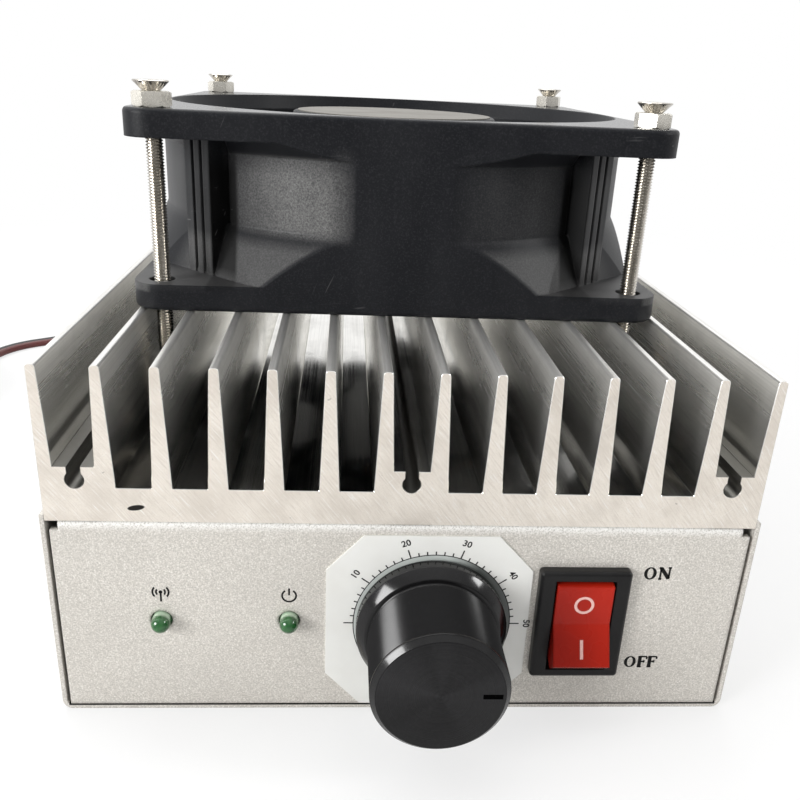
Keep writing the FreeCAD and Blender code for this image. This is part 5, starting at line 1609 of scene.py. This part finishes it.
# ---------------------------------------------------------------- front controls
@dataclass
class Knob:
    """Turned knob: a skirt, an undercut, a finely grooved body and a pointer line on its face."""

    x: float = 4.2
    z: float = 17.25
    back: float = 0.6
    skirt: float = 12.1
    skirt_end: float = 4.2
    skirt_rise: float = 1.75
    skirt_round: float = 0.4
    undercut: float = 0.35
    body: float = 10.3
    face: float = 18.1
    chamfer: float = 0.8
    recess: float = 8.6
    recess_end: float = 5.2
    bore: float = 3.04
    bore_end: float = 14.2
    grub_reach: float = 9.7
    grub_radius: float = 1.5
    grub_depth: float = 14.0
    groove_pitch: float = 0.16
    groove_depth: float = 0.075
    sharp: float = 24.0
    sides: int = 160

    POINTER = ((6.1, -0.4), (9.0, -0.4), (9.0, 0.4), (6.1, 0.4))

    def grooves(self, start: float, end: float) -> np.ndarray:
        """A row of fine V grooves: the radius is a triangle wave of the reach.

        Args:
            start: Reach of the first groove.
            end: Reach of the last one.

        Returns:
            Radius and reach of each point.
        """
        count = int((end - start) / self.groove_pitch)
        reach = np.linspace(start, end, 2 * count + 1)
        wave = np.arange(2 * count + 1) % 2
        return np.column_stack([self.body - self.groove_depth * wave, reach])

    def profile(self) -> np.ndarray:
        """The turned section, from the bore's end round to the middle of the face.

        Returns:
            Radius and reach of each point.
        """
        body, bend = self.body, self.skirt_round
        rim, shoulder = body - self.chamfer, self.face - self.chamfer
        return np.concatenate([
            [[0.0, self.bore_end], [self.bore, self.bore_end], [self.bore, self.recess_end],
             [self.recess, self.recess_end], [self.recess, self.back],
             [self.skirt - 0.2, self.back], [self.skirt, self.back + 0.2]],
            arc(bend, 0.0, 45.0, 4, (self.skirt - bend, self.skirt_end - self.skirt_rise)),
            arc(bend, 45.0, 90.0, 4, (body + 0.25, self.skirt_end - bend)),
            arc(self.undercut, -90.0, -270.0, 9, (body, self.skirt_end + self.undercut + 0.07)),
            self.grooves(self.skirt_end + 1.0, shoulder - 0.3),
            [[body, shoulder - 0.08], [body - 0.03, shoulder], [rim, self.face - 0.03],
             [rim - 0.1, self.face], [body * 0.5, self.face], [0.0, self.face]],
        ])

    def build(self, nodes: dict[str, bpy.types.Object]) -> None:
        """Turn the knob, drill its grub screw's hole and lay the pointer line on its face.

        Args:
            nodes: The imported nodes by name.
        """
        axis = (self.x, FRONT, self.z)
        shape = Shape().add_grid(revolve(self.profile(), self.sides)).placed(FACING_FRONT, axis)
        self._drill(shape.piece("knob_turned", [Look.KNOB], "knob_black", body="knob_body",
                                sharp=self.sharp, replaces=["knob"]))
        mark = Shape().add_prism([np.array(self.POINTER)], self.face - 0.03, self.face + 0.02)
        mark.placed(FACING_FRONT, axis)
        mark.piece("knob_pointer", [Look.POINTER], "knob_black", body="knob_body")
        dress(nodes, {Look.STAINLESS: "knob_grub_screw"})

    def _drill(self, knob: bpy.types.Object) -> None:
        """Cut the grub screw's hole from the bore down through the wall.

        Args:
            knob: The turned knob.
        """
        radius, depth = self.grub_radius, self.grub_depth
        section = np.array([[0.0, 0.0], [radius, 0.0], [radius, depth], [0.0, depth]])
        drill = Shape().add_grid(revolve(section, 32))
        drill.placed(HANGING, (self.x, FRONT - self.grub_reach, self.z))
        tool = linked("drill", drill.mesh("drill"))
        cut = knob.modifiers.new("hole", "BOOLEAN")
        cut.operation, cut.object, cut.solver = "DIFFERENCE", tool, "EXACT"
        bpy.context.view_layer.update()
        result = evaluated(knob)
        knob.modifiers.clear()
        knob.data = result
        bpy.data.objects.remove(tool)
        shade(result, self.sharp)


@dataclass
class FrontPrint:
    """Everything printed on the front: dial scale, its numbers, switch words and lamp symbols."""

    dial_x: float = 4.4
    dial_z: float = 17.3
    dial_thickness: float = 0.3
    ring: float = 12.7
    line: float = 0.14
    tick: float = 0.2
    long_tick: float = 1.55
    short_tick: float = 0.62
    number_out: float = 2.75
    number_size: float = 1.5
    ink: float = 0.02
    bold: float = 0.03
    pen: float = 0.3
    symbol_z: float = 22.15
    power_x: float = -18.5
    power_radius: float = 1.25
    aerial_x: float = -38.5
    aerial_tip: float = 0.55
    on_size: float = 2.1
    off_size: float = 2.05

    THICK, THIN = 0.3, 0.15
    NUMBERS = ((144, "10"), (108, "20"), (72, "30"), (36, "40"), (0, "50"))
    ON = (("O", 39.2, 26.8), ("N", 41.6, 26.8))
    OFF = (("O", 38.4, 9.5), ("F", 40.45, 9.5), ("F", 42.15, 9.5))
    STROKES = {
        "N": ((-0.34, -0.5, -0.34, 0.5, THIN), (0.34, -0.5, 0.34, 0.5, THIN),
              (-0.36, 0.5, 0.34, -0.46, THICK), (-0.47, -0.5, -0.21, -0.5, THIN),
              (0.21, 0.5, 0.47, 0.5, THIN), (-0.5, 0.5, -0.29, 0.5, THIN)),
        "F": ((-0.2, -0.5, -0.2, 0.5, THICK), (-0.36, 0.5, 0.36, 0.5, THIN),
              (0.36, 0.5, 0.36, 0.26, THIN), (-0.2, 0.02, 0.16, 0.02, THIN),
              (0.16, 0.14, 0.16, -0.1, THIN), (-0.36, -0.5, -0.02, -0.5, THIN)),
    }

    def _bar(self, start: Sequence[float], end: Sequence[float], width: float) -> np.ndarray:
        """Outline of a straight stroke: both ends moved half a width to each side.

        Args:
            start: Its first end.
            end: Its last end.
            width: Its width.

        Returns:
            Four corners.
        """
        first, last = np.array(start, dtype=float), np.array(end, dtype=float)
        along = (last - first) / np.linalg.norm(last - first)
        side = np.array([-along[1], along[0]]) * width / 2
        return np.array([first - side, last - side, last + side, first + side])

    def _bow(self, radius: float, start: float, end: float, count: int,
             centre: Sequence[float]) -> np.ndarray:
        """Outline of a stroke along an arc: forth on its outer edge and back on its inner one."""
        outer, inner = arc(radius, start, end, count), arc(radius - self.pen, end, start, count)
        return np.concatenate([outer, inner]) + np.asarray(centre)

    def _print(self, *shapes: Sequence[np.ndarray]) -> Shape:
        """A film of ink over some areas.

        Args:
            shapes: Outline and holes of each area.

        Returns:
            The shape.
        """
        film = Shape()
        for loops in shapes:
            film.add_prism(loops, 0.0, self.ink)
        return film

    def scale(self) -> Shape:
        """Ring, long ticks every 36 degrees and short ones every 6, from right over to left.

        Returns:
            The shape.
        """
        areas = [[ring(self.ring + self.line / 2, 144), ring(self.ring - self.line / 2, 144, True)]]
        for degree in range(0, 181, 6):
            direction = arc(1.0, degree, degree, 1)[0]
            reach = self.ring + (self.short_tick if degree % 36 else self.long_tick)
            areas.append([self._bar(direction * self.ring, direction * reach, self.tick)])
        return self._print(*areas)

    def number(self, text: str, degree: float) -> tuple[np.ndarray, list[list[int]]]:
        """A number in the built-in font, turned to stand on the ring.

        Args:
            text: What it says.
            degree: Its angle on the ring.

        Returns:
            Points in millimetres, and faces.
        """
        curve = bpy.data.curves.new("number", "FONT")
        curve.body, curve.size = text, self.number_size
        curve.align_x, curve.align_y = "CENTER", "CENTER"
        curve.resolution_u = 4
        curve.extrude, curve.offset = self.ink / 2, self.bold
        points, faces = read_curve(curve)
        middle = arc(self.ring + self.number_out, degree, degree, 1)[0]
        spin = np.array(Matrix.Rotation(math.radians(degree - 90.0), 3, "Z"))
        return points @ spin.T + np.array([*middle, self.ink / 2]), faces

    def numbers(self) -> Shape:
        """Numbers outside the long ticks.

        Returns:
            The shape.
        """
        shape = Shape()
        for degree, text in self.NUMBERS:
            shape.add(*self.number(text, degree))
        return shape

    def letter(self, letter: str, x: float, z: float, size: float) -> list[list[np.ndarray]]:
        """Areas of a roman letter: an O is an ellipse with a narrower one in it, others strokes.

        Args:
            letter: O, N or F.
            x: X of its middle.
            z: Z of its middle.
            size: Height.

        Returns:
            Outline and holes of each area.
        """
        middle = np.array([x, z])
        if letter == "O":
            return [[ring(1.0, 40) * np.array([0.49, 0.55]) * size + middle,
                     ring(1.0, 40, True) * np.array([0.23, 0.44]) * size + middle]]
        strokes = np.array(self.STROKES[letter]) * size
        return [[self._bar(stroke[:2], stroke[2:4], stroke[4]) + middle] for stroke in strokes]

    def words(self) -> Shape:
        """ON beside the switch's upper end and OFF beside its lower end.

        Returns:
            The shape.
        """
        areas = []
        for word, size in ((self.ON, self.on_size), (self.OFF, self.off_size)):
            for letter, x, z in word:
                areas += self.letter(letter, x, z, size)
        return self._print(*areas)

    def symbols(self) -> Shape:
        """A broken ring with a stroke over the right lamp, and a mast with waves over the left.

        Returns:
            The shape.
        """
        x, z, pen = self.power_x, self.symbol_z, self.pen
        areas = [[self._bow(self.power_radius, 125.0, 415.0, 30, (x, z))],
                 [self._bar((x, z + 0.1), (x, z + 1.35), pen)]]
        x, tip = self.aerial_x, z + self.aerial_tip
        areas += [[self._bar((x, z - 1.2), (x, z + 0.5), pen)],
                  [ring(pen, 16) + np.array([x, tip])]]
        for reach in (0.85, 1.4):
            for side in (0.0, 180.0):
                areas.append([self._bow(reach, side - 42.0, side + 42.0, 12, (x, tip))])
        return self._print(*areas)

    def build(self) -> None:
        """Lay the prints on the dial plate and on the panel."""
        dial, panel = (self.dial_x, FRONT - self.dial_thickness, self.dial_z), (0.0, FRONT, 0.0)
        for name, shape, place, slot in (("dial_scale", self.scale(), dial, "dial_print"),
                                         ("dial_numbers", self.numbers(), dial, "dial_print"),
                                         ("switch_words", self.words(), panel, "case_paint"),
                                         ("lamp_symbols", self.symbols(), panel, "case_paint")):
            shape.placed(FACING_FRONT, place).piece(name, [Look.INK], slot)


@dataclass
class Rocker:
    """Marks on the rocker's two faces, worked out from its pivot, crown and angle."""

    x: float = 28.5
    pivot_y: float = -74.0
    pivot_z: float = 17.75
    crown: float = 3.1
    angle: float = 13.0
    sunk: float = -0.01
    paint: float = 0.04
    ring_outer: float = 1.62
    ring_inner: float = 1.14
    ring_reach: float = 3.55
    bar_width: float = 0.54
    bar_height: float = 3.1
    bar_reach: float = 4.1

    def _mark(self, name: str, loops: Sequence[np.ndarray], lean: float, reach: float) -> None:
        """Paint a mark on a face, its middle a distance from the valley between the faces.

        Args:
            name: Name of the piece.
            loops: Outline and holes about the origin.
            lean: Angle of the face from upright, in radians.
            reach: Distance from the valley, upwards.
        """
        tilt = math.radians(self.angle)
        valley = np.array([self.x, self.pivot_y - self.crown * math.cos(tilt),
                           self.pivot_z + self.crown * math.sin(tilt)])
        up = np.array([0.0, math.sin(lean), math.cos(lean)])
        out = np.array([0.0, -math.cos(lean), math.sin(lean)])
        shape = Shape().add_prism(loops, self.sunk, self.paint)
        shape.placed(np.column_stack([[1.0, 0.0, 0.0], up, out]), valley + up * reach)
        shape.piece(name, [Look.MARKS], "rocker_red", body="rocker")

    def build(self, nodes: dict[str, bpy.types.Object]) -> None:
        """Paint O on the upper face, which stands upright at rest, and I on the lower one.

        Args:
            nodes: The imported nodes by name.
        """
        self._mark("rocker_mark_off", [ring(self.ring_outer, 48), ring(self.ring_inner, 48, True)],
                   0.0, self.ring_reach)
        half, up = self.bar_width / 2, self.bar_height / 2
        bar = np.array([[-half, -up], [half, -up], [half, up], [-half, up]])
        self._mark("rocker_mark_on", [bar], 2 * math.radians(self.angle), -self.bar_reach)
        dress(nodes, {Look.ROCKER: "power_switch_rocker"})


@dataclass
class PackedNodes:
    """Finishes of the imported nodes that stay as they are."""

    WEAR = {
        Look.SHELL: "case_shell",
        Look.CASE: "front_panel rear_panel",
        Look.NICKEL: "case_pillars band_switch_shaft band_switch_washer band_switch_nut rf_sockets "
                     "ptt_jack_shell board_spacers",
        Look.ZINC: "bottom_screws panel_screws rf_socket_screws rf_socket_nuts board_screws "
                   "transistor_screws",
        Look.DIAL: "dial_plate",
        Look.SWITCH_BLACK: "power_switch_body led_clips band_switch_body ptt_jack_insulator "
                           "dc_connector",
        Look.TINNED: "power_switch_terminals band_switch_lugs transistor_tabs",
        Look.LENS: "led_left led_right",
        Look.PTFE: "band_switch_rotor rf_insulators",
        Look.BRASS: "rf_contacts",
        Look.RUBBER: "dc_grommet dc_cord_tie",
        Look.BOARD: "circuit_board",
        Look.RELAY: "relays bias_trimmers",
        Look.FERRITE: "toroid_cores transformer_cores",
        Look.COPPER: "toroid_windings",
        Look.HEAVY_WIRE: "transformer_windings",
        Look.CAN: "capacitors",
        Look.PACKAGE: "transistor_bodies",
        Look.PAD: "transistor_pads",
    }

    def build(self, nodes: dict[str, bpy.types.Object]) -> None:
        """Dress the nodes of the case, its rear and its inside."""
        dress(nodes, self.WEAR)


def main() -> None:
    """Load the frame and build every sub-assembly in order."""
    logging.basicConfig(level=logging.INFO, format="%(name)s: %(message)s")
    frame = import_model()
    nodes = frame["nodes"]
    Studio().build()
    SupplyLead().build()
    Heatsink().build()
    Fan().build(nodes)
    Knob().build(nodes)
    FrontPrint().build()
    Rocker().build(nodes)
    PackedNodes().build(nodes)


if __name__ == "__main__":
    main()
